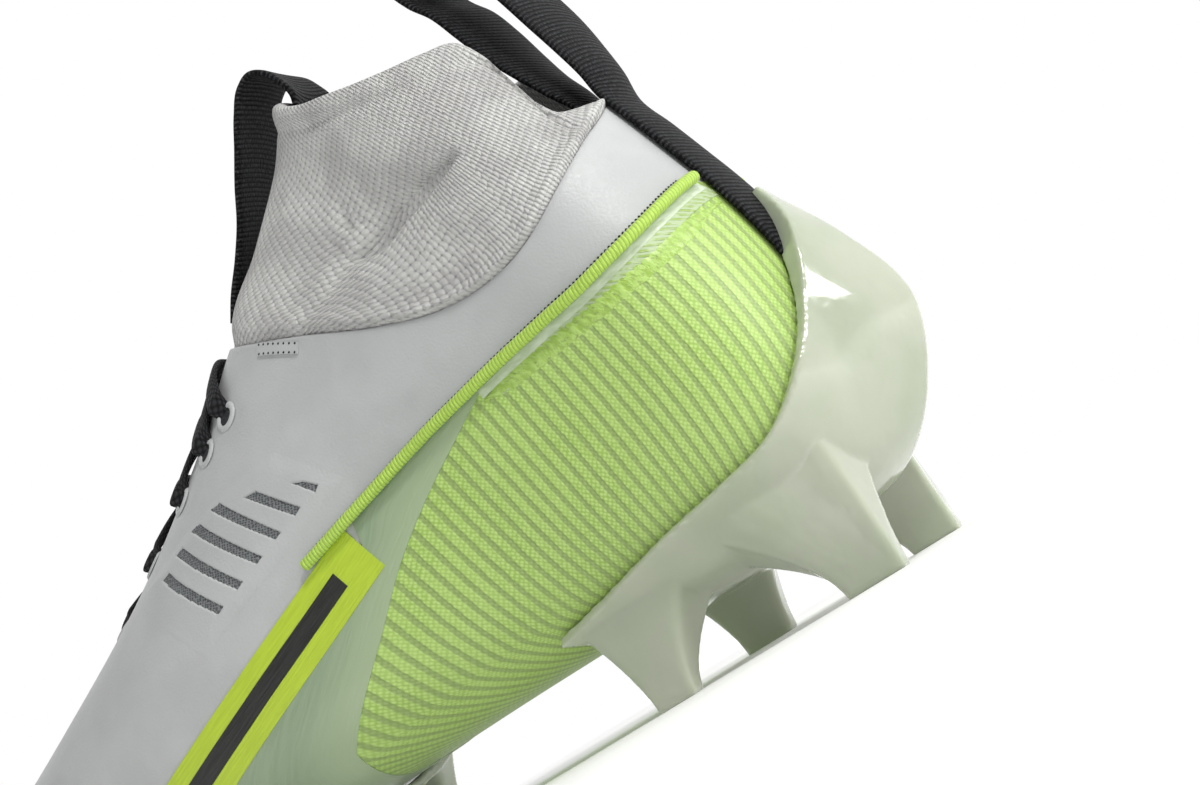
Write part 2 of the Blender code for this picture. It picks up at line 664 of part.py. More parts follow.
def stud(row):
    """One stud: a blade with a long flat tip, flaring up to points inside the plate."""
    name, along, across, length, width, front, back, inward, outward, climb, turn = row
    depth = GAP + FACET_ALLOWANCE + STUD_BITE * PLATE_THICKNESS
    spin = math.radians(turn)
    outer_side = -1 if across < 0 else 1
    tips, roots = [], []
    for j in range(STUD_SIDES):
        angle = 2 * math.pi * (j + 0.5) / STUD_SIDES
        u = math.copysign(abs(math.cos(angle)) ** STUD_SQUARENESS, math.cos(angle))
        v = math.copysign(abs(math.sin(angle)) ** STUD_SQUARENESS, math.sin(angle))
        beyond = v * outer_side
        reach = (u * (length / 2 + (back if u > 0 else front)), v * (width / 2 + (outward if beyond > 0 else inward)))
        placed = []
        for x, y in ((u * length / 2, v * width / 2), reach):
            placed.append(
                (
                    x_of(along) + x * math.cos(spin) - y * math.sin(spin),
                    across * BALL_WIDTH + x * math.sin(spin) + y * math.cos(spin),
                )
            )
        tips.append(placed[0])
        roots.append(under_foot(*placed[1], climb * max(0.0, beyond), depth))
    verts = []
    for k in range(STUD_LEVELS):
        share = k / (STUD_LEVELS - 1)
        flare = share**STUD_FLARE
        for (x, y), root in zip(tips, roots):
            verts.append((x + (root.x - x) * flare, y + (root.y - y) * flare, root.z * share))
    middle = sum(roots, Vector()) / STUD_SIDES
    verts.append(under_foot(middle.x, middle.y, 0.0, depth))
    faces = sheet_faces(STUD_LEVELS, STUD_SIDES, True)
    faces.append(tuple(range(STUD_SIDES)))
    first = (STUD_LEVELS - 1) * STUD_SIDES
    faces += [(first + j, first + (j + 1) % STUD_SIDES, len(verts) - 1) for j in range(STUD_SIDES)]
    return helper(new_object(name, verts, faces))


# How far the webbing's pocket in the plate runs past the webbing's end, in sections.
POCKET_OVERRUN = 0.12
POCKET_ROWS = 12


def webbing_pocket():
    """A cutter for the room the heel webbing needs under the plate."""
    first, last, _ = HEEL_LOOP_OUTSIDE
    span = (first - POCKET_OVERRUN, last, POCKET_ROWS)
    outer = heel_rows(span, 2 * GAP + FACET_ALLOWANCE + WEBBING_THICKNESS, 2 * GAP)
    inner = heel_rows(span, -GAP, 2 * GAP)
    return helper(thick_sheet("webbing pocket", np.array(outer), np.array(inner), None))


def make_plate(name, grids, studs, material):
    """A sole plate with its studs joined on."""
    plate = thick_sheet(name, *grids, material)
    for row in studs:
        combine(plate, stud(row), "UNION")
    return plate


# Webbing loops, each a band drawn row by row.
LOOP_COLUMNS = 5


def band(name, middles, count, thickness, material):
    """A strap between rows of mid-thickness points, resampled to this many rows."""
    middles = np.asarray(middles, float)
    rows, columns = middles.shape[:2]
    smooth = curve(middles.reshape(rows, -1), count).reshape(count, columns, 3)
    along = np.gradient(smooth, axis=0)
    across = np.gradient(smooth, axis=1)
    normals = np.cross(along, across)
    normals /= np.linalg.norm(normals, axis=2, keepdims=True)
    half = normals * thickness / 2
    return thick_sheet(name, smooth + half, smooth - half, material)


def free_row(along, up, bend, twist, width):
    """A row of a strap off the shoe, its edges bent forward (-) or back (+) by `bend` and
    its medial edge turned back by `twist`."""
    across = np.linspace(-1, 1, LOOP_COLUMNS)
    return [(x_of(along) + bend * c * c + twist * c, c * width / 2, z_of(up)) for c in across]


# The free part of the heel loop on the side view: shares of LENGTH from the heel and of
# FRONT_HEIGHT above the sole line, and the bend and the twist of its edges in millimetres.
HEEL_LOOP_FREE = (
    (0.0475, 0.722, -2.3, 0.7),
    (0.0525, 0.772, -1.9, 1.4),
    (0.0594, 0.826, -1.4, 2.0),
    (0.0696, 0.895, -0.9, 2.2),
    (0.0826, 0.972, -0.5, 2.3),
    (0.0982, 1.037, -0.3, 2.3),
    (0.1163, 1.072, -0.2, 2.3),
    (0.1333, 1.060, -0.2, 2.4),
    (0.1399, 1.019, -0.3, 2.5),
    (0.1319, 0.972, -0.5, 2.6),
    (0.1196, 0.934, -0.8, 2.6),
    (0.1098, 0.884, -1.1, 2.5),
    (0.0993, 0.824, -1.5, 2.0),
    (0.0884, 0.772, -1.9, 1.2),
    (0.0764, 0.722, -2.3, 0.5),
)
HEEL_LOOP_OUTSIDE = (ROW["heel 2"] + 0.72, ROW["ankle 1"] + 0.9, 7)
HEEL_LOOP_INSIDE = (ROW["ankle 2"] + 0.02, ROW["ankle 1"] + 0.0, 4)
HEEL_LOOP_ROWS = 30


def heel_rows(span, offset, margin=0.0):
    """Rows of the heel webbing where it lies on the heel, inside or out."""
    first, last, count = span
    reach = HEEL_WEBBING_WIDTH / 2 + margin
    at, arc = np.meshgrid(np.linspace(first, last, count), np.linspace(-reach, reach, LOOP_COLUMNS), indexing="ij")
    return surface(at, place_of(arc, at), offset).tolist()


def make_heel_loop(material):
    """The pull loop: sewn down the back of the heel, up and over, and down inside."""
    rows = heel_rows(HEEL_LOOP_OUTSIDE, GAP + FACET_ALLOWANCE / 2 + WEBBING_THICKNESS / 2)
    rows += [free_row(*row, HEEL_WEBBING_WIDTH) for row in HEEL_LOOP_FREE]
    rows += heel_rows(HEEL_LOOP_INSIDE, -(COLLAR_WALL + GAP + FACET_ALLOWANCE + WEBBING_THICKNESS / 2))
    return band("heel_loop", rows, HEEL_LOOP_ROWS, WEBBING_THICKNESS, material)


FRONT_LOOP_LINE = (
    (0.4190, 0.762, 1.4, 0.0),
    (0.4060, 0.795, 1.1, 0.0),
    (0.3840, 0.840, 0.7, 0.0),
    (0.3650, 0.884, 0.3, 0.0),
    (0.3490, 0.935, 0.2, 0.0),
    (0.3325, 0.983, 0.2, 0.0),
    (0.3175, 1.027, 0.2, 0.0),
    (0.3030, 1.058, 0.2, 0.0),
    (0.2900, 1.066, 0.2, 0.0),
    (0.2790, 1.052, 0.3, 0.0),
    (0.2725, 1.025, 0.8, 0.0),
    (0.2695, 0.995, 1.3, 0.0),
    (0.2760, 0.962, 1.6, 0.0),
    (0.2865, 0.926, 1.7, 0.0),
)
FRONT_LOOP_ROWS = 20


def make_front_loop(material):
    """The pull loop at the front of the collar, from the tongue over the rim."""
    rows = [free_row(*row, FRONT_WEBBING_WIDTH) for row in FRONT_LOOP_LINE]
    return band("front_loop", rows, FRONT_LOOP_ROWS, WEBBING_THICKNESS, material)


# Piping: a corded seam on each side, from beside the heel webbing forward, seen from the side
# as shares of LENGTH from the heel and of FRONT_HEIGHT above the sole line.
PIPING_LINE = (
    (0.030, 0.486),
    (0.055, 0.457),
    (0.105, 0.426),
    (0.148, 0.416),
    (0.194, 0.406),
    (0.230, 0.396),
    (0.267, 0.385),
    (0.330, 0.358),
    (0.398, 0.324),
)
PIPING_SIDES = 6
PIPING_POINTS = 22


def round_cord(name, points, radius, sides, material):
    """A round cord along points, its ends capped."""
    points = np.asarray(points, float)
    along = np.gradient(points, axis=0)
    rings = []
    for point, direction in zip(points, along):
        direction = Vector(direction).normalized()
        across = direction.cross(Vector((0, 0, 1))).normalized()
        up = across.cross(direction)
        for k in range(sides):
            turn = 2 * math.pi * k / sides
            rings.append(Vector(point) + (across * math.cos(turn) + up * math.sin(turn)) * radius)
    count = len(points)
    faces = sheet_faces(count, sides, True)
    faces.append(tuple(range(sides))[::-1])
    faces.append(tuple((count - 1) * sides + k for k in range(sides)))
    return new_object(name, [tuple(v) for v in rings], faces, material)


def make_piping(name, side, material):
    """The corded seam on one side."""
    radius = PIPING_DIAMETER / 2
    points = [on_side(x, z, side, radius + 2 * GAP) for x, z in side_line(PIPING_LINE, PIPING_POINTS)]
    return round_cord(name, points, radius, PIPING_SIDES, material)


# Lace: crossing bars over the throat, joined where they cross. The lifts keep the faces of
# bars that cross from lying in one plane.
LACE_POINTS = 7
LACE_CROSS_LIFT = 0.5
LACE_FIRST_LIFT = 0.25
LACE_OFFSET = GAP + 2 * FACET_ALLOWANCE + LACE_THICKNESS / 2


def lace_bar(name, start, end, lift, material=None):
    """A flat bar over the instep between two eyelets given as (pair, side)."""
    (at0, arc0), (at1, arc1) = eyelet_place(*start), eyelet_place(*end)
    at, arc = np.linspace(at0, at1, LACE_POINTS), np.linspace(arc0, arc1, LACE_POINTS)
    middle = over_instep(at, arc, LACE_OFFSET + lift)
    normals = over_instep(at, arc, LACE_OFFSET + lift + 1) - middle
    along = np.gradient(middle, axis=0)
    edge = np.cross(along, normals)
    edge *= LACE_WIDTH / 2 / np.linalg.norm(edge, axis=1, keepdims=True)
    half = normals * LACE_THICKNESS / 2
    outer = np.stack([middle - edge + half, middle + edge + half], 1)
    inner = np.stack([middle - edge - half, middle + edge - half], 1)
    return thick_sheet(name, outer, inner, material)


def make_lace(material):
    """The lace's crossing bars; their ends stop on the skin over the eyelets."""
    lace = lace_bar("lace", (0, -1), (0, 1), LACE_FIRST_LIFT, material)
    for pair in range(EYELET_PAIRS - 1):
        for side in (-1, 1):
            lift = LACE_CROSS_LIFT if side > 0 else 0.0
            bar = lace_bar(f"lace bar {pair} {side}", (pair, side), (pair + 1, -side), lift)
            combine(lace, helper(bar), "UNION")
    return lace


def main():
    for obj in list(bpy.data.objects):
        bpy.data.objects.remove(obj)
    skin = finish("coated skin", (0.60, 0.62, 0.64), 0.35)
    knit = finish("collar knit", (0.62, 0.63, 0.64), 0.85)
    plastic = finish("moulded plate", (0.66, 0.71, 0.60), 0.18, transmission=0.2)
    foam = finish("insole foam", (0.05, 0.05, 0.05), 0.8)
    webbing = finish("black webbing", (0.012, 0.012, 0.013), 0.7)
    cord = finish("lime cord", (0.48, 0.75, 0.12), 0.6)
    make_upper(skin)
    make_collar(knit)
    make_insole(foam)
    heel_plate = make_plate("heel_plate", heel_plate_grid(*HEEL_PLATE_GRID), HEEL_STUDS, plastic)
    combine(heel_plate, webbing_pocket(), "DIFFERENCE")
    make_plate("forefoot_plate", forefoot_plate_grid(*FOREFOOT_PLATE_GRID), FOREFOOT_STUDS, plastic)
    make_heel_loop(webbing)
    make_front_loop(webbing)
    make_piping("piping_lateral", -1, cord)
    make_piping("piping_medial", 1, cord)
    make_lace(webbing)


main()
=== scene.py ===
"""American football cleat, left foot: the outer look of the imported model.

Lengths in the code are millimetres and become metres when a mesh is made. The toe points to -X,
the outer side of the foot faces -Y, and the studs stand on Z = 0. Every fabric and film piece is
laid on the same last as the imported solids, at a much finer pitch.
"""

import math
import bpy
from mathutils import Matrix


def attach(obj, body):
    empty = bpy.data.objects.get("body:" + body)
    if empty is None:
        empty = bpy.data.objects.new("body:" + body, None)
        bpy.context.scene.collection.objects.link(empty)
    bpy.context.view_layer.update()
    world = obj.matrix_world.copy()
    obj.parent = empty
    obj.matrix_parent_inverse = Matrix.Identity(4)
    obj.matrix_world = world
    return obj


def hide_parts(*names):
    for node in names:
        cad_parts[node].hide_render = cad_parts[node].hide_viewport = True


bl_info = {
    "name": "Football Cleat",
    "version": (1, 0, 0),
    "blender": (4, 5, 0),
    "location": "View3D > Sidebar > Cleat",
    "description": "Builds the visible pieces of a left american football cleat",
    "category": "Object",
}

import bmesh
import bpy
import numpy as np
from bpy.props import FloatProperty, FloatVectorProperty, PointerProperty
from mathutils import Matrix, Vector
from mathutils.bvhtree import BVHTree

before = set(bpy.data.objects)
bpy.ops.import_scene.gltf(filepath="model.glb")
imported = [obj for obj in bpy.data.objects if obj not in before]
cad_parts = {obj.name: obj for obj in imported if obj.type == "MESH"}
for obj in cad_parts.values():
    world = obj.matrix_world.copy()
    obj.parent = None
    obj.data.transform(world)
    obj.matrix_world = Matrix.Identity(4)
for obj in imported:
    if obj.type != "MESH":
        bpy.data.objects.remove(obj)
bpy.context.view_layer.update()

MM = 0.001
BODY = "root"
SIDES = ((-1, "lateral"), (1, "medial"))

# Sizes that the last is drawn from
LENGTH = 276.0
BALL_WIDTH = 97.0
FRONT_HEIGHT = 137.5
HEEL_BACK = 132.6
LIFT = 15.8
UPPER_WALL = 1.8
COLLAR_WALL = 2.6
PLATE_THICKNESS = 2.6
GAP = 0.3
FACET_ALLOWANCE = 0.4
HEEL_WEBBING_WIDTH = 21.0
FRONT_WEBBING_WIDTH = 17.0
WEBBING_THICKNESS = 1.6

# Sections of the last, from the toe tip under the foot and up the heel to the collar
# name, sole_x, sole_z, top_x, top_z, lateral, medial, widest, floor, roof
SECTIONS = (
    ("toe tip", 1.000, 0.100, 1.000, 0.118, -0.095, 0.115, 0.50, 2.0, 2.0),
    ("toe end", 0.992, 0.073, 0.992, 0.150, 0.030, 0.235, 0.44, 2.1, 2.1),
    ("toe 1", 0.971, 0.050, 0.971, 0.189, 0.130, 0.328, 0.40, 2.3, 2.2),
    ("toe 2", 0.935, 0.032, 0.935, 0.226, 0.237, 0.407, 0.37, 2.5, 2.3),
    ("toe 3", 0.880, 0.016, 0.880, 0.264, 0.345, 0.464, 0.35, 2.7, 2.3),
    ("toe box", 0.801, 0.005, 0.801, 0.315, 0.443, 0.495, 0.33, 2.9, 2.2),
    ("ball", 0.699, 0.000, 0.699, 0.392, 0.500, 0.500, 0.30, 3.0, 2.1),
    ("waist", 0.583, 0.000, 0.581, 0.508, 0.500, 0.443, 0.28, 3.0, 1.9),
    ("low instep", 0.475, 0.002, 0.482, 0.636, 0.455, 0.363, 0.26, 2.9, 1.85),
    ("instep", 0.384, 0.004, 0.428, 0.729, 0.407, 0.328, 0.25, 2.9, 1.9),
    ("shank 1", 0.304, 0.004, 0.393, 0.795, 0.374, 0.320, 0.25, 3.0, 1.95),
    ("shank 2", 0.225, 0.003, 0.368, 0.842, 0.355, 0.325, 0.25, 3.0, 2.0),
    ("heel seat", 0.145, 0.001, 0.348, 0.878, 0.351, 0.332, 0.26, 3.0, 2.0),
    ("heel base", 0.080, 0.001, 0.332, 0.906, 0.347, 0.335, 0.28, 2.8, 2.0),
    ("heel corner", 0.034, 0.025, 0.319, 0.929, 0.344, 0.335, 0.31, 2.5, 2.0),
    ("heel 1", 0.009, 0.098, 0.311, 0.946, 0.340, 0.333, 0.34, 2.25, 2.0),
    ("heel 2", 0.000, 0.200, 0.304, 0.961, 0.334, 0.328, 0.38, 2.1, 2.0),
    ("heel 3", 0.003, 0.316, 0.299, 0.975, 0.326, 0.321, 0.42, 2.05, 2.0),
    ("heel 4", 0.015, 0.440, 0.293, 0.990, 0.313, 0.309, 0.46, 2.0, 2.0),
    ("ankle 1", 0.033, 0.556, 0.289, 1.004, 0.298, 0.295, 0.49, 2.0, 2.0),
    ("ankle 2", 0.053, 0.673, 0.284, 1.019, 0.280, 0.278, 0.50, 2.0, 2.0),
    ("ankle 3", 0.072, 0.789, 0.279, 1.034, 0.266, 0.264, 0.50, 2.0, 2.0),
    ("ankle 4", 0.090, 0.891, 0.272, 1.052, 0.258, 0.256, 0.50, 2.0, 2.0),
)
ROW = {row[0]: index for index, row in enumerate(SECTIONS)}
LAST_ROW = len(SECTIONS) - 1
FINE_ROWS = 24
FINE_RING = 120

# Lines on the side view: shares of LENGTH from the heel, shares of FRONT_HEIGHT above the sole
SEAM_LINE = (
    (-0.060, 0.705), (0.042, 0.696), (0.053, 0.668), (0.058, 0.638), (0.069, 0.610),
    (0.094, 0.562), (0.116, 0.533), (0.140, 0.516), (0.176, 0.510), (0.217, 0.523),
    (0.266, 0.562), (0.331, 0.631), (0.391, 0.690), (0.430, 0.727), (0.470, 0.765),
)
RIM_LINE = (
    (-0.060, 0.650), (0.044, 0.650), (0.056, 0.663), (0.066, 0.660), (0.074, 0.662),
    (0.084, 0.690), (0.095, 0.753), (0.103, 0.808), (0.113, 0.840), (0.132, 0.847),
    (0.157, 0.855), (0.185, 0.870), (0.216, 0.894), (0.240, 0.915), (0.262, 0.945),
    (0.290, 1.000), (0.320, 1.060),
)
# The share of the length at which each of these lines stops in front
SEAM_FRONT = 0.468
RIM_FRONT = 0.318
# The throat: shares of LENGTH from the heel, and its half width in shares of BALL_WIDTH
THROAT_LINE = (
    (0.385, 0.150), (0.440, 0.135), (0.520, 0.115), (0.600, 0.095), (0.645, 0.070), (0.665, 0.030),
)
PIPING_LINE = (
    (0.030, 0.486), (0.055, 0.457), (0.105, 0.426), (0.148, 0.416), (0.194, 0.406),
    (0.230, 0.396), (0.267, 0.385), (0.330, 0.358), (0.398, 0.324),
)
SAGE_EDGE = (
    (0.439, 0.062), (0.404, 0.124), (0.377, 0.171), (0.330, 0.258), (0.287, 0.317),
    (0.246, 0.361), (0.208, 0.400),
)
BAND_LINE = ((0.352, 0.304), (0.420, 0.247), (0.500, 0.180), (0.612, 0.085))


def x_of(share):
    """The X of a place at this share of the length from the back of the heel."""
    return HEEL_BACK - share * LENGTH


def z_of(share):
    """The Z of a place at this share of the front height above the sole line."""
    return LIFT + share * FRONT_HEIGHT


def smooth_step(value, low, high):
    """0 below low, 1 above high, and an easy curve between."""
    share = np.clip((value - low) / (high - low), 0, 1)
    return share * share * (3 - 2 * share)


def unit(vectors):
    """The directions of vectors, at length 1."""
    return vectors / np.maximum(np.linalg.norm(vectors, axis=-1, keepdims=True), 1e-9)


def run_of(points):
    """The distance along a line of points, from its start."""
    return np.concatenate([[0], np.cumsum(np.linalg.norm(np.diff(points, axis=0), axis=1))])


def evenly(values, run, count):
    """Rows of values at equal distances along the line that they belong to."""
    even = np.linspace(0, run[-1], count)
    return np.stack([np.interp(even, run, column) for column in values.T], 1)


def hermite(f, first, second, slope1, slope2):
    """Values a share f of the way along a cubic between two ends with their slopes."""
    return (
        (2 * f**3 - 3 * f**2 + 1) * first
        + (f**3 - 2 * f**2 + f) * slope1
        + (3 * f**2 - 2 * f**3) * second
        + (f**3 - f**2) * slope2
    )


def bell(value, middle, width):
    """1 at the middle, falling off smoothly on both sides within about this width."""
    return np.exp(-(((value - middle) / width) ** 2))


def rounded(value, power):
    """A cosine or sine bent towards the corners of a square by a power below 1."""
    return np.sign(value) * np.abs(value) ** power


def spline(table, at):
    """Catmull-Rom values of a table's rows at fractional row numbers."""
    table = np.asarray(table, float)
    at = np.clip(np.atleast_1d(np.asarray(at, float)), 0, len(table) - 1)
    i = np.minimum(at.astype(int), len(table) - 2)
    f = (at - i)[:, None]
    before, after = np.maximum(i - 1, 0), np.minimum(i + 2, len(table) - 1)
    p0, p1, p2, p3 = table[before], table[i], table[i + 1], table[after]
    return hermite(f, p1, p2, (p2 - p0) / 2, (p3 - p1) / 2)


def curve(points, count):
    """Evenly spaced points on a smooth curve through the given ones."""
    points = np.asarray(points, float)
    run = run_of(points)
    slopes = np.gradient(points, run, axis=0)
    at = np.linspace(0, run[-1], count)
    i = np.clip(np.searchsorted(run, at, side="right") - 1, 0, len(run) - 2)
    step = (run[i + 1] - run[i])[:, None]
    f = (at - run[i])[:, None] / step
    return hermite(f, points[i], points[i + 1], step * slopes[i], step * slopes[i + 1])


def on_side(shares):
    """Places on the side view, from shares to (x, z) in millimetres."""
    return np.array([(x_of(along), z_of(up)) for along, up in shares])


def side_line(shares, count):
    """A smooth line on the side view through places given as shares."""
    return curve(on_side(shares), count)


def shifted(line, by):
    """A side-view line running forward, moved this far to its upper side."""
    along = unit(np.gradient(line, axis=0))
    return line + by * np.stack([along[:, 1], -along[:, 0]], 1)


def half_ring(row, side):
    """Points of one side of a section, from the sole line to the instep line."""
    sole_x, sole_z, top_x, top_z, lateral, medial, widest, floor, roof = row
    middle = (medial - lateral) / 2 * BALL_WIDTH
    half = (medial + lateral) / 2 * BALL_WIDTH
    turn = np.linspace(0, math.pi, 6 * FINE_RING + 1)
    up, out = np.cos(turn), np.sin(turn)
    low = turn <= math.pi / 2
    power = np.where(low, 2 / floor, 2 / roof)
    reach = np.abs(out) ** power
    rise = np.where(low, widest * (1 - np.abs(up) ** power), widest + (1 - widest) * np.abs(up) ** power)
    x = x_of(sole_x) + rise * (x_of(top_x) - x_of(sole_x))
    z = z_of(sole_z) + rise * (z_of(top_z) - z_of(sole_z))
    points = np.stack([x, middle + side * half * reach, z], 1)
    run = run_of(points)
    return evenly(points, run, FINE_RING + 1), run[-1]


def last_grid():
    """The last's points, outward normals and half girths, rows along the foot."""
    table = [row[1:] for row in SECTIONS]
    rings, girths = [], []
    for row in spline(table, np.linspace(0, LAST_ROW, LAST_ROW * FINE_ROWS + 1)):
        lateral, lateral_girth = half_ring(row, -1)
        medial, medial_girth = half_ring(row, 1)
        rings.append(np.concatenate([lateral[::-1], medial[1:]]))
        girths.append((lateral_girth, medial_girth))
    points = np.array(rings)
    along = np.gradient(points, axis=0)
    closed = np.concatenate([points[:, -2:-1], points, points[:, 1:2]], axis=1)
    around = (closed[:, 2:] - closed[:, :-2]) / 2
    return points, unit(np.cross(around, along)), np.array(girths)


LAST_POINTS, LAST_NORMALS, LAST_GIRTHS = last_grid()


def bilinear(grid, at, around):
    """Values of a fine grid at section numbers `at` and ring places `around`."""
    a = np.clip(np.asarray(at, float), 0, LAST_ROW) * FINE_ROWS
    b = (np.clip(np.asarray(around, float), -1, 1) + 1) * FINE_RING
    i = np.minimum(a.astype(int), grid.shape[0] - 2)
    j = np.minimum(b.astype(int), grid.shape[1] - 2)
    f, g = (a - i)[..., None], (b - j)[..., None]
    low = grid[i, j] * (1 - g) + grid[i, j + 1] * g
    high = grid[i + 1, j] * (1 - g) + grid[i + 1, j + 1] * g
    return low * (1 - f) + high * f


def normals_at(at, around):
    """Outward directions of the last."""
    return unit(bilinear(LAST_NORMALS, at, around))


def surface(at, around, offset=0.0):
    """Points of the last, pushed out by offset. `around` is -1 on the instep, 0 on the sole line
    and 1 on the instep again, lateral side first."""
    return bilinear(LAST_POINTS, at, around) + normals_at(at, around) * np.asarray(offset)[..., None]


def half_girth(at, around):
    """The half girth of the side that each ring place is on."""
    rows = np.arange(len(LAST_GIRTHS)) / FINE_ROWS
    lateral = np.interp(at, rows, LAST_GIRTHS[:, 0])
    medial = np.interp(at, rows, LAST_GIRTHS[:, 1])
    return np.where(np.asarray(around) < 0, lateral, medial)


def place_of(arc, at):
    """The ring place this far along the surface from the sole line; lateral is negative."""
    arc, at = np.broadcast_arrays(np.asarray(arc, float), np.asarray(at, float))
    return arc / half_girth(at, arc)


def instep_place(arc, at):
    """The ring place this far along the surface from the instep line; lateral is negative."""
    arc, at = np.broadcast_arrays(np.asarray(arc, float), np.asarray(at, float))
    girth = half_girth(at, arc)
    return np.where(arc < 0, -1 - arc / girth, 1 - arc / girth)


def quads(rows, columns, wrap=False):
    """The four-cornered faces of a grid of points."""
    last = columns if wrap else columns - 1
    r, c = np.meshgrid(np.arange(rows - 1), np.arange(last), indexing="ij")
    after = (c + 1) % columns
    here, below = r * columns, (r + 1) * columns
    return np.stack([here + c, here + after, below + after, below + c], -1).reshape(-1, 4).tolist()


LAST_TREE = BVHTree.FromPolygons(LAST_POINTS.reshape(-1, 3).tolist(), quads(*LAST_POINTS.shape[:2]))


def side_place(line, side):
    """Section numbers and ring places of the last at points (x, z) of one side's view."""
    columns = LAST_POINTS.shape[1]
    places = []
    for x, z in line:
        _, _, index, _ = LAST_TREE.ray_cast(Vector((x, side * FRONT_HEIGHT, z)), Vector((0, -side, 0)))
        row, column = divmod(index, columns - 1)
        corner = LAST_POINTS[row, column][[0, 2]]
        down = LAST_POINTS[row + 1, column][[0, 2]] - corner
        across = LAST_POINTS[row, column + 1][[0, 2]] - corner
        ways = np.stack([down, across], 1)
        f, g = np.clip(np.linalg.lstsq(ways, np.array((x, z)) - corner, rcond=None)[0], 0, 1)
        places.append(((row + f) / FINE_ROWS, (column + g) / FINE_RING - 1))
    return np.array(places)


def rail(parts, count, side):
    """A line of (section, ring place) pairs. Each part is a side-view line or, as ("ring",
    section, place), one point of the last."""
    places = []
    for part in parts:
        if isinstance(part, tuple):
            places.append(np.array([[part[1], part[2] * side]]))
        else:
            places.append(side_place(part, side))
    places = np.concatenate(places)
    return evenly(places, run_of(surface(*places.T)), count)


def ruled(first, second, rows):
    """Section numbers and ring places of a grid between two rails."""
    share = np.linspace(0, 1, rows)[:, None]
    return tuple(first[None, :, k] * (1 - share) + second[None, :, k] * share for k in (0, 1))


def border_of(rows, columns):
    """The point numbers round the border of a grid."""
    index = np.arange(rows * columns).reshape(rows, columns)
    return np.concatenate([index[0, :-1], index[:-1, -1], index[-1, :0:-1], index[:0:-1, 0]]).tolist()


def lay_uv(grid):
    """Coordinates in millimetres over a grid of points: along its columns and its rows."""
    across = np.linalg.norm(np.diff(grid, axis=1), axis=2)
    down = np.linalg.norm(np.diff(grid, axis=0), axis=2)
    u = np.concatenate([np.zeros((len(grid), 1)), np.cumsum(across, axis=1)], 1)
    v = np.concatenate([np.zeros((1, grid.shape[1])), np.cumsum(down, axis=0)], 0)
    return np.stack([u, v], -1)


def new_piece(name, verts, faces, materials, uv=None, outward=None, shades=None, sharp=None):
    """A piece from points in millimetres, which rides on the shoe. `outward` is a direction for
    its first faces, `shades` each face's material number, `sharp` an angle for hard edges."""
    verts = np.asarray(verts, float)
    if outward is not None:
        corners = verts[np.array([f[:4] for f in faces[: len(outward)]])]
        normals = np.cross(corners[:, 2] - corners[:, 0], corners[:, 3] - corners[:, 1])
        if (normals * outward).sum() < 0:
            faces = [f[::-1] for f in faces]
    mesh = bpy.data.meshes.new(name)
    mesh.from_pydata((verts * MM).tolist(), [], faces)
    if outward is None:
        shape = bmesh.new()
        shape.from_mesh(mesh)
        bmesh.ops.recalc_face_normals(shape, faces=shape.faces)
        shape.to_mesh(mesh)
        shape.free()
    if uv is not None:
        layer = mesh.uv_layers.new(name="millimetres")
        corners = np.empty(len(mesh.loops), np.int32)
        mesh.loops.foreach_get("vertex_index", corners)
        layer.data.foreach_set("uv", np.asarray(uv, np.float32).reshape(-1, 2)[corners].ravel())
    for material in materials:
        mesh.materials.append(material)
    if shades is not None:
        mesh.polygons.foreach_set("material_index", np.asarray(shades, np.int32))
    mesh.shade_smooth()
    if sharp:
        mesh.set_sharp_from_angle(angle=math.radians(sharp))
    piece = bpy.data.objects.new(name, mesh)
    bpy.context.scene.collection.objects.link(piece)
    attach(piece, BODY)
    return piece


def lay_film(name, places, offset, edge, materials, uv=None, shades=None):
    """A thin layer on the last, `offset` out from it, with its border turned down by `edge`."""
    at, around = places
    rows, columns = at.shape
    top = surface(at, around, offset)
    if uv is None:
        uv = lay_uv(top)
    border = border_of(rows, columns)
    low = surface(at, around, np.asarray(offset) - edge).reshape(-1, 3)[border]
    first = rows * columns
    faces = quads(rows, columns)
    outward = normals_at(at, around)[:-1, :-1].reshape(-1, 3)
    count = len(border)
    for k in range(count):
        after = (k + 1) % count
        faces.append([border[after], border[k], first + k, first + after])
    if shades is not None:
        shades = list(shades) + [0] * count
    flat = uv.reshape(-1, 2)
    verts, uv = np.concatenate([top.reshape(-1, 3), low]), np.concatenate([flat, flat[border]])
    return new_piece(name, verts, faces, materials, uv, outward, shades, sharp=50)


def beads(name, places, offset, radius, material):
    """Small round dots on the last in one piece, each pressed to half its height."""
    shape = bmesh.new()
    bmesh.ops.create_icosphere(shape, subdivisions=1, radius=1.0)
    ball = np.array([v.co for v in shape.verts])
    faces = np.array([[v.index for v in f.verts] for f in shape.faces])
    shape.free()
    verts, all_faces = [], []
    for k, (centre, normal) in enumerate(zip(surface(*places, offset), normals_at(*places))):
        verts.append(centre + (ball - np.outer(ball @ normal, normal) / 2) * radius)
        all_faces.append(faces + k * len(ball))
    return new_piece(name, np.concatenate(verts), np.concatenate(all_faces).tolist(), [material])


def tube(rings, cap=True):
    """Vertices and faces of a closed tube from an array of rings."""
    count, sides = rings.shape[:2]
    faces = quads(count, sides, True)
    if cap:
        faces.append(list(range(sides))[::-1])
        faces.append([(count - 1) * sides + k for k in range(sides)])
    return rings.reshape(-1, 3), faces


def joined(shapes):
    """Vertices and faces of several shapes as one."""
    faces, first = [], 0
    for part, part_faces in shapes:
        faces += [[v + first for v in face] for face in part_faces]
        first += len(part)
    return np.concatenate([part for part, _ in shapes]), faces


# Materials


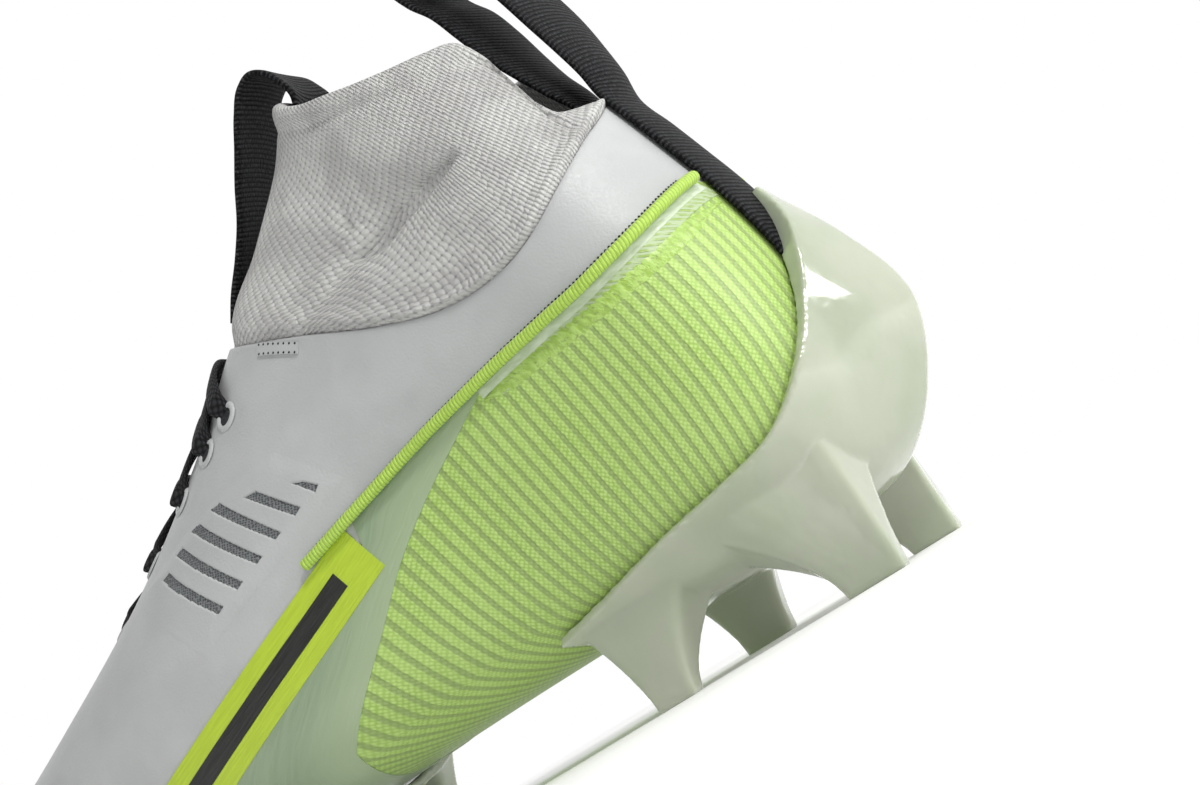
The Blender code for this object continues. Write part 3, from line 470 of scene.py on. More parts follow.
def linear(code):
    """The linear colour of an sRGB hex value."""
    channels = [int(code[k : k + 2], 16) / 255 for k in (1, 3, 5)]
    return tuple(c / 12.92 if c <= 0.04045 else ((c + 0.055) / 1.055) ** 2.4 for c in channels)


def opaque(colour):
    """A hex value or a colour setting as a node's colour."""
    return (*(linear(colour) if isinstance(colour, str) else tuple(colour)), 1.0)


def add_node(tree, kind, settings=None, inputs=None, output=0):
    """Adds a node with its settings, its inputs as values or links, and gives one output."""
    node = tree.nodes.new("ShaderNode" + kind)
    for key, value in (settings or {}).items():
        setattr(node, key, value)
    for key, value in (inputs or {}).items():
        if isinstance(value, bpy.types.NodeSocket):
            tree.links.new(value, node.inputs[key])
        else:
            node.inputs[key].default_value = value
    return node.outputs[output]


def new_material(name, plain):
    """A Principled material with its plain values, and its node tree."""
    material = bpy.data.materials.new(name)
    material.use_nodes = True
    for key, value in plain.items():
        material.node_tree.nodes["Principled BSDF"].inputs[key].default_value = value
    return material, material.node_tree


def shade(tree, **sockets):
    """Links patterns into the shader: base colour, roughness and the pressed surface."""
    shader = tree.nodes["Principled BSDF"]
    for key, socket in sockets.items():
        tree.links.new(socket, shader.inputs[key.replace("_", " ")])


BLEND = {"data_type": "RGBA"}
EASED = {"interpolation_type": "SMOOTHSTEP"}


def press(tree, tint, height, depth):
    """Links a colour, and a surface that a pattern raises by `depth` millimetres, into the shader."""
    raised = add_node(tree, "Bump", None, {"Height": height, "Distance": depth * MM})
    shade(tree, Base_Color=tint, Normal=raised)


def two_tone(tree, share, low, high, depth):
    """Two colours blended by a pattern that raises the surface too."""
    tint = add_node(tree, "Mix", BLEND, {0: share, 6: opaque(low), 7: opaque(high)}, 2)
    press(tree, tint, share, depth)


def laid_out(tree, across, along, turn=0.0):
    """The piece's own millimetres, so many pattern steps for each, turned by degrees."""
    source = add_node(tree, "TexCoord", output="UV")
    inputs = {"Vector": source, "Scale": (across, along, 1.0), "Rotation": (0, 0, math.radians(turn))}
    return add_node(tree, "Mapping", None, inputs)


def patches(tree, size, low=0.35, high=0.65, detail=2.0):
    """Soft patches about this many millimetres across, from 0 to 1, fixed in the shoe."""
    source = add_node(tree, "TexCoord", output="Object")
    inputs = {"Vector": source, "Scale": 1 / (size * MM), "Detail": detail}
    cloud = add_node(tree, "TexNoise", None, inputs)
    return add_node(tree, "MapRange", EASED, {"Value": cloud, "From Min": low, "From Max": high})


def cells(tree, place, low, high, uneven=0.1):
    """A round mound on each point of a square lattice of pitch 1, from 0 to 1."""
    distance = add_node(tree, "TexVoronoi", None, {"Vector": place, "Scale": 1.0, "Randomness": uneven})
    return add_node(tree, "MapRange", EASED, {"Value": distance, "From Min": high, "From Max": low})


def threads(tree, place, low=0.3, high=0.7, detail=2.0):
    """Fine threads drawn out along a stretched pattern, from 0 to 1."""
    inputs = {"Vector": place, "Scale": 1.0, "Detail": detail, "Roughness": 0.6}
    streak = add_node(tree, "TexNoise", None, inputs)
    return add_node(tree, "MapRange", EASED, {"Value": streak, "From Min": low, "From Max": high})


def film_over_cloth(sizes, colours):
    """Polyurethane film heat-pressed on polyester: smooth and satin, faintly waved and grained."""
    material, tree = new_material("heat-pressed film on polyester", {"IOR": 1.5, "Sheen Weight": 0.05})
    # Pressing leaves slow waves about 16 mm long and a grain of about 0.6 mm
    wave, grain = patches(tree, 16), patches(tree, 0.6, 0.3, 0.7, 3.0)
    tint = add_node(tree, "Mix", BLEND, {0: wave, 6: opaque("#AFB1B1"), 7: opaque(colours.film)}, 2)
    gloss = add_node(tree, "MapRange", None, {"Value": grain, "To Min": 0.38, "To Max": 0.5})
    waves = add_node(tree, "Bump", None, {"Height": wave, "Distance": 0.12 * MM})
    rough = add_node(tree, "Bump", None, {"Height": grain, "Distance": 0.03 * MM, "Normal": waves})
    shade(tree, Base_Color=tint, Roughness=gloss, Normal=rough)
    return material


def knitted_polyester(sizes, colours):
    """Two-needle polyester knit: soft matt cells in staggered rows, with painted shade in the pits between.
    """
    plain = {"Roughness": 0.9, "IOR": 1.45, "Sheen Weight": 0.2, "Sheen Roughness": 0.6}
    material, tree = new_material("knitted polyester", plain)
    # A lattice turned by 45 degrees staggers the rows; its pitch is the cells' by root 2
    step = math.sqrt(2) * MM / sizes.knit_pitch
    place = laid_out(tree, step, 0.8 * step, 45)
    cell = cells(tree, place, 0.42, 0.74)
    # Yarn fibres are 0.02 mm thick: drawn as 0.3 mm fuzz, which is as fine as shows
    fuzz, broad = patches(tree, 0.3, 0.25, 0.75), patches(tree, 11)
    yarn = add_node(tree, "Mix", BLEND, {0: broad, 6: opaque(colours.knit), 7: opaque("#D0D0CD")}, 2)
    # The grey #7C7E81 round each cell is painted shade, where the pits between the loops lie in shadow
    tint = add_node(tree, "Mix", BLEND, {0: cell, 6: opaque("#7C7E81"), 7: yarn}, 2)
    mound = cells(tree, place, 0.05, 0.68)
    height = add_node(tree, "Math", {"operation": "MULTIPLY_ADD"}, {0: fuzz, 1: 0.2, 2: mound})
    press(tree, tint, height, 0.55)
    return material


def ribbed_knit(sizes, colours):
    """Ribbed polyester knit under clear film: ridges and small loops with painted light, grooves greyer in
    their own colour and darker with painted shade, gloss.
    """
    plain = {"Roughness": 0.5, "IOR": 1.5, "Coat Weight": 0.3, "Coat Roughness": 0.32}
    material, tree = new_material("rib knit under clear film", plain)
    # Ribs 2.75 mm apart; loops 1.1 mm apart in staggered rows
    wander = threads(tree, laid_out(tree, 0.9, 0.7), 0.2, 0.8)
    across = add_node(tree, "SeparateXYZ", None, {0: laid_out(tree, MM / sizes.rib_pitch, 1)}, "X")
    phase = add_node(tree, "Math", {"operation": "MULTIPLY_ADD"}, {0: wander, 1: 0.07, 2: across})
    turn = add_node(tree, "Math", {"operation": "MULTIPLY"}, {0: phase, 1: 2 * math.pi})
    wave = add_node(tree, "Math", {"operation": "SINE"}, {0: turn})
    ridge = add_node(tree, "MapRange", EASED, {"Value": wave, "From Min": -0.8, "From Max": 0.1})
    loop = cells(tree, laid_out(tree, 1.25, 1.25, 45), 0.12, 0.66, 0.3)
    pale = patches(tree, 14)
    # The lighter crests and loops are painted light; the darker green between the loops and in the grooves
    # is painted shade, and the grooves' greyer tone is partly the cloth's own
    crest = add_node(tree, "Mix", BLEND, {0: loop, 6: opaque("#96B853"), 7: opaque(colours.rib_ridge)}, 2)
    painted_lit = add_node(tree, "Mix", BLEND, {0: pale, 6: crest, 7: opaque("#B5D277")}, 2)
    painted_lit = add_node(tree, "Mix", BLEND, {0: 0.65, 6: painted_lit, 7: crest}, 2)
    groove = add_node(tree, "Mix", BLEND, {0: loop, 6: opaque("#88A158"), 7: opaque(colours.rib_groove)}, 2)
    tint = add_node(tree, "Mix", BLEND, {0: ridge, 6: groove, 7: painted_lit}, 2)
    height = add_node(tree, "Math", {"operation": "MULTIPLY_ADD"}, {0: loop, 1: 0.35, 2: ridge})
    press(tree, tint, height, 0.16)
    return material


def sage_film(sizes, colours):
    """Translucent sage polyurethane film welded over the knit: glossy, faintly brushed."""
    plain = {"Roughness": 0.3, "IOR": 1.5, "Coat Weight": 0.3, "Coat Roughness": 0.18}
    material, tree = new_material("welded sage film", plain)
    streak = threads(tree, laid_out(tree, 0.05, 0.7), 0.3, 0.75, 3.0)
    rows = add_node(tree, "SeparateXYZ", None, {0: laid_out(tree, 1, 1)}, "Y")
    inner = add_node(tree, "MapRange", EASED, {"Value": rows, "From Min": 0.0, "From Max": 16.0})
    body = add_node(tree, "Mix", BLEND, {0: inner, 6: opaque("#9CAE8B"), 7: opaque(colours.sage)}, 2)
    brushed = add_node(tree, "Mix", BLEND, {0: streak, 6: body, 7: opaque("#A0B193")}, 2)
    tint = add_node(tree, "Mix", BLEND, {0: 0.72, 6: brushed, 7: body}, 2)
    press(tree, tint, streak, 0.05)
    return material


def printed_film(name, colour, other):
    """Printed polyurethane film: smooth and satin, finely brushed along its length."""
    material, tree = new_material(name, {"Roughness": 0.36, "IOR": 1.5})
    brushed = threads(tree, laid_out(tree, 0.12, 2.2), 0.3, 0.7, 3.0)
    two_tone(tree, brushed, colour, other, 0.04)
    return material


def stitched_band(sizes, colours):
    """Twisted overlock seam under clear film: mottled lime cords that lean along the seam."""
    plain = {"Roughness": 0.42, "IOR": 1.5, "Coat Weight": 0.3, "Coat Roughness": 0.25}
    material, tree = new_material("overlocked seam", plain)
    # Cords about 1.3 mm apart, leaning by 30 degrees, flecked with darker thread
    streak = threads(tree, laid_out(tree, 0.8, 0.42, 32), 0.36, 0.62, 3.0)
    fleck = threads(tree, laid_out(tree, 1.1, 0.9), 0.55, 0.7)
    body = add_node(tree, "Mix", BLEND, {0: streak, 6: opaque("#94B44B"), 7: opaque("#ABCB69")}, 2)
    tint = add_node(tree, "Mix", BLEND, {0: fleck, 6: body, 7: opaque("#8BA157")}, 2)
    press(tree, tint, streak, 0.12)
    return material


def zigzag_tape(sizes, colours):
    """Zigzag stitches under clear film: pale tape with upright lime threads 1.6 mm apart."""
    plain = {"Roughness": 0.35, "IOR": 1.5, "Coat Weight": 0.4, "Coat Roughness": 0.2}
    material, tree = new_material("zigzag stitched tape", plain)
    parts = add_node(tree, "SeparateXYZ", None, {0: laid_out(tree, 1 / 1.6, 1 / 3.0)}, "X")
    lean = add_node(tree, "Math", {"operation": "PINGPONG"}, {0: parts.node.outputs["Y"], 1: 1.0})
    phase = add_node(tree, "Math", {"operation": "MULTIPLY_ADD"}, {0: lean, 1: 0.5, 2: parts})
    there = add_node(tree, "Math", {"operation": "PINGPONG"}, {0: phase, 1: 0.5})
    thread = add_node(tree, "MapRange", EASED, {"Value": there, "From Min": 0.30, "From Max": 0.16})
    broken = threads(tree, laid_out(tree, 0.5, 0.5), 0.35, 0.6)
    shown = add_node(tree, "Math", {"operation": "MULTIPLY"}, {0: thread, 1: broken})
    two_tone(tree, shown, "#ABBC94", "#94AE57", 0.15)
    return material


def clear_strip(sizes, colours):
    """Milky thermoplastic film folded under the piping: pale and glossy, a little uneven."""
    plain = {"Roughness": 0.2, "IOR": 1.5, "Coat Weight": 0.5, "Coat Roughness": 0.1}
    material, tree = new_material("milky film edge", plain)
    uneven = threads(tree, laid_out(tree, 0.25, 0.5), 0.3, 0.7)
    two_tone(tree, uneven, "#B4C3A4", "#CBD6C0", 0.08)
    return material


def wound_thread(sizes, colours):
    """Bright polyester thread wound over a cord: silky turns, with painted shade in the dark lines between
    them.
    """
    plain = {"Roughness": 0.5, "IOR": 1.5, "Sheen Weight": 0.15}
    material, tree = new_material("wound polyester thread", plain)
    place = laid_out(tree, MM / sizes.thread_pitch, WRAP_LEAN)
    parts = add_node(tree, "SeparateXYZ", None, {0: place}, "X")
    phase = add_node(tree, "Math", {"operation": "ADD"}, {0: parts, 1: parts.node.outputs["Y"]})
    there = add_node(tree, "Math", {"operation": "PINGPONG"}, {0: phase, 1: 0.5})
    crown = add_node(tree, "MapRange", EASED, {"Value": there, "From Min": 0.02, "From Max": 0.2})
    fibre = threads(tree, laid_out(tree, 6.0, 0.6, 5))
    painted_lit = add_node(tree, "Mix", BLEND, {0: fibre, 6: opaque("#A3C449"), 7: opaque(colours.thread)}, 2)
    # The dark green #8BAA42 between the turns is painted shade in the grooves between the wraps
    tint = add_node(tree, "Mix", BLEND, {0: crown, 6: opaque("#8BAA42"), 7: painted_lit}, 2)
    press(tree, tint, fibre, 0.05)
    return material


def black_webbing(sizes, colours):
    """Woven polyester webbing: arched twill ribs across, matt black with painted grey highlights on the
    ribs' threads.
    """
    plain = {"Roughness": 0.6, "IOR": 1.5, "Specular IOR Level": 0.14}
    material, tree = new_material("woven black webbing", plain)
    # Ribs 1.07 mm apart, arched by 1.2 mm at the edges; threads 0.35 mm across
    place = laid_out(tree, 1, MM / sizes.webbing_pitch)
    across = add_node(tree, "SeparateXYZ", None, {0: place}, "X")
    square = add_node(tree, "Math", {"operation": "MULTIPLY"}, {0: across, 1: across})
    arch = {0: square, 1: 0.012, 2: across.node.outputs["Y"]}
    phase = add_node(tree, "Math", {"operation": "MULTIPLY_ADD"}, arch)
    there = add_node(tree, "Math", {"operation": "PINGPONG"}, {0: phase, 1: 0.5})
    rib = add_node(tree, "MapRange", EASED, {"Value": there, "From Min": 0.05, "From Max": 0.4})
    thread = threads(tree, laid_out(tree, 2.6, 1.0, 10), 0.35, 0.7)
    # Grey #3C3D40 on the ribs' threads is a painted highlight, where the ribs catch the light
    painted_lit = add_node(tree, "Math", {"operation": "MULTIPLY"}, {0: rib, 1: thread})
    tint = add_node(tree, "Mix", BLEND, {0: painted_lit, 6: opaque(colours.webbing), 7: opaque("#3C3D40")}, 2)
    height = add_node(tree, "Math", {"operation": "MULTIPLY_ADD"}, {0: thread, 1: 0.3, 2: rib})
    press(tree, tint, height, 0.3)
    return material


def braided_lace(sizes, colours):
    """Flat braided polyester lace: matt black strands about 1 mm wide that cross."""
    plain = {"Roughness": 0.7, "IOR": 1.5, "Specular IOR Level": 0.22}
    material, tree = new_material("braided black lace", plain)
    raised = cells(tree, laid_out(tree, 1.1, 0.8, 45), 0.1, 0.6)
    two_tone(tree, raised, "#070708", "#303134", 0.25)
    return material


def moulded_plastic(sizes, colours):
    """Injection-moulded thermoplastic polyurethane: milky depth, high gloss, soft flow clouds."""
    plain = {"IOR": 1.5, "Coat Weight": 0.8, "Coat Roughness": 0.04}
    plain |= {"Subsurface Weight": 0.45, "Subsurface Scale": 4 * MM, "Subsurface Radius": (0.9, 1.0, 0.7)}
    material, tree = new_material("moulded polyurethane", plain)
    # Flow clouds about 22 mm across, and sink marks about 7 mm across
    cloud, sink = patches(tree, 22), patches(tree, 7)
    tint = add_node(tree, "Mix", BLEND, {0: cloud, 6: opaque(colours.plate), 7: opaque("#A6AE98")}, 2)
    gloss = add_node(tree, "MapRange", None, {"Value": cloud, "To Min": 0.1, "To Max": 0.18})
    dent = add_node(tree, "Bump", None, {"Height": sink, "Distance": 0.08 * MM})
    shade(tree, Base_Color=tint, Roughness=gloss, Normal=dent)
    return material


def lining_cloth(sizes, colours):
    """Brushed polyester lining: pale grey and matt, with a fine weave about 1 mm wide."""
    material, tree = new_material("brushed lining", {"Roughness": 0.9, "IOR": 1.45, "Sheen Weight": 0.3})
    cell = cells(tree, laid_out(tree, 1.3, 1.3, 45), 0.2, 0.6, 0.2)
    two_tone(tree, cell, "#6F7173", "#9B9D9F", 0.15)
    return material


def sockliner_cloth(sizes, colours):
    """Black knitted cloth glued on foam: matt, speckled at about 0.9 mm."""
    material, tree = new_material("sockliner cloth", {"Roughness": 0.88, "IOR": 1.45, "Sheen Weight": 0.2})
    speck = patches(tree, 0.9, 0.3, 0.7)
    two_tone(tree, speck, "#101113", "#2A2B2D", 0.15)
    return material


def vent_mesh(sizes, colours):
    """Open polyester mesh in the vents: grey threads over dark gaps 0.9 mm apart."""
    material, tree = new_material("vent mesh", {"Roughness": 0.8, "IOR": 1.45})
    cell = cells(tree, laid_out(tree, 1.6, 1.6, 45), 0.2, 0.55, 0.3)
    two_tone(tree, cell, "#7C7F80", "#4A4D4F", 0.15)
    return material


def painted_shade_and_thread(sizes, colours):
    """Painted shade in needle, stitch and eyelet holes, and near-black thread: matt near black with grey
    fibres 0.4 mm apart.
    """
    material, tree = new_material("painted hole shade and dark thread", {"Roughness": 0.85, "IOR": 1.45})
    fibre = patches(tree, 0.4, 0.3, 0.7)
    tint = add_node(tree, "Mix", BLEND, {0: fibre, 6: opaque("#131416"), 7: opaque("#33363A")}, 2)
    shade(tree, Base_Color=tint)
    return material


# Settings


def length_setting(name, description, millimetres):
    """A length setting with its default from millimetres."""
    return FloatProperty(name=name, description=description, default=millimetres * MM, unit="LENGTH")


def colour_setting(name, description, code):
    """A colour setting with its default from an sRGB hex value."""
    look = {"subtype": "COLOR", "size": 3, "min": 0.0, "max": 1.0}
    return FloatVectorProperty(name=name, description=description, default=linear(code), **look)


class CleatSizes(bpy.types.PropertyGroup):
    """Pitches of the knits, weaves and threads."""

    knit_pitch: length_setting("Knit pitch", "Distance between collar knit cells", 1.7)
    rib_pitch: length_setting("Rib pitch", "Distance between the side cloth's ribs", 2.75)
    webbing_pitch: length_setting("Webbing pitch", "Distance between webbing ribs", 1.07)
    thread_pitch: length_setting("Thread pitch", "Width of a turn of the piping thread", 0.8)
    needle_pitch: length_setting("Needle pitch", "Distance between needle marks", 0.95)
    band_width: length_setting("Band width", "Width of the lime side band", 12.0)
    vent_depth: length_setting("Vent depth", "How deep the vents lie in the film", 0.55)


class CleatColours(bpy.types.PropertyGroup):
    """Colours of the cleat's finishes."""

    film: colour_setting("Film", "Light grey film on the upper", "#B5B7B7")
    knit: colour_setting("Knit", "Collar and tongue knit", "#BAB9B7")
    rib_ridge: colour_setting("Rib ridge", "Loops on the side cloth's ribs", "#B9D57B")
    rib_groove: colour_setting("Rib groove", "Grooves of the side cloth", "#99B069")
    sage: colour_setting("Sage film", "Welded panel in front of the rib cloth", "#84977A")
    band: colour_setting("Band", "Lime printed side band", "#A9C033")
    inlay: colour_setting("Inlay", "Dark stripe in the side band", "#1C1C1A")
    thread: colour_setting("Piping thread", "Thread wound round the piping", "#B8DA5C")
    plate: colour_setting("Plate", "Moulded sole plates", "#B0B5A3")
    webbing: colour_setting("Webbing", "Pull loops", "#050506")


def settings():
    """The sizes and colours of this scene."""
    scene = bpy.context.scene
    return scene.cleat_sizes, scene.cleat_colours


MADE = {}


def finish_of(maker):
    """The material that a maker makes, made once."""
    if maker.__name__ not in MADE:
        MADE[maker.__name__] = maker(*settings())
    return MADE[maker.__name__]


# Upper


def first_crossing(around, inside):
    """For each ring place, the first section number at which `inside` turns positive."""
    at = np.linspace(0, LAST_ROW, LAST_ROW * 60 + 1)
    rows, places = np.meshgrid(at, around, indexing="ij")
    values = inside(surface(rows, places), places)
    above = values > 0
    first = np.where(above.any(axis=0), above.argmax(axis=0), len(at) - 1)
    before = np.maximum(first - 1, 0)
    column = np.arange(len(around))
    low, high = values[before, column], values[first, column]
    share = np.where((high > 0) & (low <= 0), -low / np.maximum(high - low, 1e-9), 0)
    return at[before] + share * (at[first] - at[before])


def over_line(shares, front):
    """A test for points above a side-view line, behind a share of the length."""
    line = side_line(shares, 160)

    def inside(points, places):
        height = np.interp(-points[..., 0], -line[:, 0], line[:, 1])
        return np.where(points[..., 0] > x_of(front), points[..., 2] - height, -1.0)

    return inside


over_seam = over_line(SEAM_LINE, SEAM_FRONT)
over_rim = over_line(RIM_LINE, RIM_FRONT)


def in_throat(points, places):
    """Positive inside the throat, from the seam forward along the instep."""
    line = spline(THROAT_LINE, np.linspace(0, len(THROAT_LINE) - 1, 60))
    middle = spline([row[1:] for row in SECTIONS], [ROW["low instep"]])[0]
    centre = (middle[5] - middle[4]) / 2 * BALL_WIDTH / 2
    along = (HEEL_BACK - points[..., 0]) / LENGTH
    half = np.interp(along, line[:, 0], line[:, 1]) * BALL_WIDTH
    inside = half - np.abs(points[..., 1] - centre)
    allowed = (along > THROAT_LINE[0][0]) & (along < THROAT_LINE[-1][0]) & (np.abs(places) > 0.5)
    return np.where(allowed, inside, -1.0)


# The ring place from which the upper's columns are closer, for the throat's edge
THROAT_PLACE = 0.84


def upper_columns():
    """Ring places of the upper's columns, closer together beside the throat."""
    plain = np.linspace(0, THROAT_PLACE, 100, endpoint=False)
    half = np.concatenate([plain, np.linspace(THROAT_PLACE, 1, 36)])
    return np.concatenate([-half[:0:-1], half[:-1]])


def crease(points, shares, side, depth, width):
    """How far a crease along a side-view line presses points in, easing out at its ends."""
    line = side_line(shares, 60)
    flat = points[..., [0, 2]].reshape(-1, 2)
    near = (np.abs(flat[:, None, :] - line[None]) ** 2).sum(-1)
    nearest = near.argmin(1)
    distance = np.sqrt(near[np.arange(len(flat)), nearest])
    share = nearest / (len(line) - 1)
    fade = np.sin(np.pi * np.clip(share * 0.9 + 0.05, 0, 1)) ** 0.6
    sunk = depth * fade * bell(distance, 0, width)
    return sunk.reshape(points.shape[:-1]) * (points[..., 1] * side > 0)


# The small crease in the film: its line, the side it is on, its depth and its width
FILM_CREASE = (((0.262, 0.448), (0.280, 0.440), (0.297, 0.432), (0.314, 0.426)), -1, 0.45, 1.1)
OUTER_ROWS = 250
LINING_ROWS = 26
# The section near the toe at which the lining ends
LINING_TIP = 1.2
# The upper's edge: how far beyond the last row, and how far out of the last
EDGE_PROFILE = ((0.30, -0.15), (0.50, -0.55), (0.50, -1.25), (0.30, -1.65), (0.0, -UPPER_WALL))


def even_rows(at_end, around, rows):
    """Section numbers from the toe to each column's end, evenly spaced on the surface."""
    share = np.linspace(0, 1, 400)
    result = []
    for end, place in zip(at_end, around):
        at = share * end
        run = run_of(surface(at, place))
        result.append(np.interp(np.linspace(0, run[-1], rows), run, at))
    return np.array(result).T


def pace_at(at, around):
    """Millimetres of surface for one section number."""
    step = 0.02
    ahead = surface(at + step, around) - surface(at - step, around)
    return np.maximum(np.linalg.norm(ahead, axis=-1) / (2 * step), 0.5)


class CLEAT_OT_upper(bpy.types.Operator):
    """Build the wrapped upper: grey film outside, brushed lining inside"""

    bl_idname = "cleat.upper"
    bl_label = "Upper"

    def execute(self, context):
        around = upper_columns()
        at_end = np.minimum(first_crossing(around, over_seam), first_crossing(around, in_throat))
        at = even_rows(at_end, around, OUTER_ROWS)
        outer = surface(at, around, -crease(surface(at, around), *FILM_CREASE))
        pace = pace_at(at_end, around)
        edge = [surface(at_end + beyond / pace, around, rise) for beyond, rise in EDGE_PROFILE]
        inner_at = np.linspace(at_end, np.minimum(at_end, LINING_TIP), LINING_ROWS)
        inner = surface(inner_at, around, -UPPER_WALL)
        grid = np.concatenate([outer, np.array(edge), inner[1:]])
        rows, columns = grid.shape[:2]
        faces = quads(rows, columns, True)
        shades = np.zeros(len(faces), int)
        # The lining's cloth begins halfway down the edge
        shades[(OUTER_ROWS + len(EDGE_PROFILE) // 2 + 1) * columns :] = 1
        centre = grid[0].mean(0)
        faces += [[(k + 1) % columns, k, rows * columns] for k in range(columns)]
        shades = np.concatenate([shades, np.zeros(columns, int)])
        uv = lay_uv(grid).reshape(-1, 2)
        outward = normals_at(at, around)[:-1].reshape(-1, 3)
        verts, uv = np.concatenate([grid.reshape(-1, 3), [centre]]), np.concatenate([uv, uv[:1]])
        finishes = [finish_of(film_over_cloth), finish_of(lining_cloth)]
        upper = new_piece("upper_film", verts, faces, finishes, uv, outward, shades, sharp=60)
        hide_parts("upper")
        return {"FINISHED"}


# Cloth and film layers

# How ribs lean towards the heel, and how their spacing along the top closes up in front,
# by shares of LENGTH from the heel
RIB_SHARES = (0.0, 0.06, 0.12, 0.208, 0.293, 0.417, 0.533, 0.70)
RIB_LEANS = (0.0, 0.05, 0.11, 0.20, 0.30, 0.46, 0.66, 0.85)
RIB_CLOSING = (1.0, 1.0, 1.0, 0.97, 0.87, 0.68, 0.60, 0.54)
# The distance from the sole line at which the side turns under the foot
TURN_UNDER = 32.0
CONTOUR_HEIGHT = 0.30
# Where the rib cloth and the sage panel meet under the foot, and where the panel ends
CLOTH_FRONT = ROW["low instep"] + 0.05
PANEL_FRONT = ROW["waist"] + 0.35
# Shares of the length: the piping borders the cloth behind the first, the sage panel between the two
PIPING_SPAN = (0.208, 0.352)
CLOTH_COLUMNS = 250
CLOTH_ROWS = 66
PANEL_COLUMNS = 170
PANEL_ROWS = 44
STRIP_COLUMNS = 200
STRIP_ROWS = 12
OVERLOCK_COLUMNS = 240
OVERLOCK_ROWS = 20
BAND_COLUMNS = 150
# The dark stripe's share of the band's width
STRIPE_SHARE = 0.34
HEEL_LINE_TOP = 0.488


def rib_table():
    """Distances in front of the heel line, and how far round the foot they are as ribs count."""
    shares = np.linspace(0.0045, 0.68, 240)
    level = surface(*side_place(on_side([(share, CONTOUR_HEIGHT) for share in shares]), -1).T)[:, :2]
    level = np.concatenate([[(x_of(0.003), 0.0)], level])
    steps = np.diff(run_of(level)) * np.interp(shares, RIB_SHARES, RIB_CLOSING)
    return level[0, 0] - level[:, 0], np.concatenate([[0], np.cumsum(steps)])


def rib_coordinate(points, under):
    """How far round the foot the rib through each point is, in millimetres from the heel.
    `under` is how far each point lies in under the foot."""
    x, z = points[..., 0], points[..., 2]
    top = x.copy()
    for _ in range(12):
        share = (HEEL_BACK - top) / LENGTH
        depth = z_of(0.485 - 0.42 * np.clip(share, 0, 0.5)) - z + under
        top = x - np.interp(share, RIB_SHARES, RIB_LEANS) * np.maximum(depth, 0)
    heel = LAST_POINTS[ROW["heel 1"] * FINE_ROWS :, FINE_RING]
    heel_x = np.interp(z, heel[:, 2], heel[:, 0])
    near = 1 - smooth_step((HEEL_BACK - top) / LENGTH, 0.05, 0.25)
    ahead = x_of(0.003) + (heel_x - x_of(0.003)) * near - top
    return np.interp(ahead, *rib_table())


def heel_section(height):
    """The section number at which the heel line reaches this share of the front height."""
    heights = LAST_POINTS[ROW["heel base"] * FINE_ROWS :, FINE_RING, 2]
    return ROW["heel base"] + np.interp(z_of(height), heights, np.arange(len(heights))) / FINE_ROWS


class CLEAT_OT_rib_cloth(bpy.types.Operator):
    """Build the lime rib cloth that wraps the heel and the arch"""

    bl_idname = "cleat.rib_cloth"
    bl_label = "Rib cloth"

    def execute(self, context):
        back = heel_section(HEEL_LINE_TOP)
        piping = side_line(PIPING_LINE, 80)
        rear = piping[piping[:, 0] > x_of(PIPING_SPAN[0])][::-1]
        grids = []
        for side in (-1, 1):
            parts = [("ring", CLOTH_FRONT, 0.0), side_line(SAGE_EDGE, 60), rear, ("ring", back, 0.0)]
            top = rail(parts, CLOTH_COLUMNS, side)
            middle = np.stack([np.linspace(CLOTH_FRONT, back, CLOTH_COLUMNS), np.zeros(CLOTH_COLUMNS)], 1)
            grids.append(ruled(top, middle, CLOTH_ROWS))
        at = np.concatenate([grids[0][0], grids[1][0][-2::-1]])
        around = np.concatenate([grids[0][1], grids[1][1][-2::-1]])
        plain = surface(at, around)
        under = np.maximum(TURN_UNDER - np.abs(around) * half_girth(at, around), 0)
        under = under * (1 - smooth_step(at, ROW["shank 2"], ROW["heel base"]))
        round_foot = rib_coordinate(plain, under) * np.sign(plain[..., 1] + 1e-9)
        uv = np.stack([round_foot, plain[..., 2] - under], -1)
        finishes = [finish_of(ribbed_knit)]
        cloth = lay_film("rib_cloth", (at, around), offset=0.12, edge=0.1, materials=finishes, uv=uv)
        return {"FINISHED"}


class CLEAT_OT_sage_panels(bpy.types.Operator):
    """Build the welded sage film panel in front of the rib cloth, on each side"""

    bl_idname = "cleat.sage_panels"
    bl_label = "Sage panels"

    def execute(self, context):
        piping = side_line(PIPING_LINE, 80)
        rear, front = (x_of(share) for share in PIPING_SPAN)
        under = piping[(piping[:, 0] > front) & (piping[:, 0] < rear)][::-1]
        for side, end in SIDES:
            edge = [("ring", CLOTH_FRONT, 0.0), side_line(SAGE_EDGE, 60)]
            far = [("ring", PANEL_FRONT, 0.0), side_line(BAND_LINE, 60)[::-1], under]
            places = ruled(rail(edge, PANEL_COLUMNS, side), rail(far, PANEL_COLUMNS, side), PANEL_ROWS)
            finishes = [finish_of(sage_film)]
            panel = lay_film(f"sage_panel_{end}", places, offset=0.32, edge=0.3, materials=finishes)
        return {"FINISHED"}


def plain_lime(sizes, colours):
    """Lime print on polyurethane film."""
    return printed_film("lime printed film", colours.band, "#B4CD38")


def plain_black(sizes, colours):
    """Black print on polyurethane film."""
    return printed_film("black printed film", colours.inlay, "#2B2C2A")


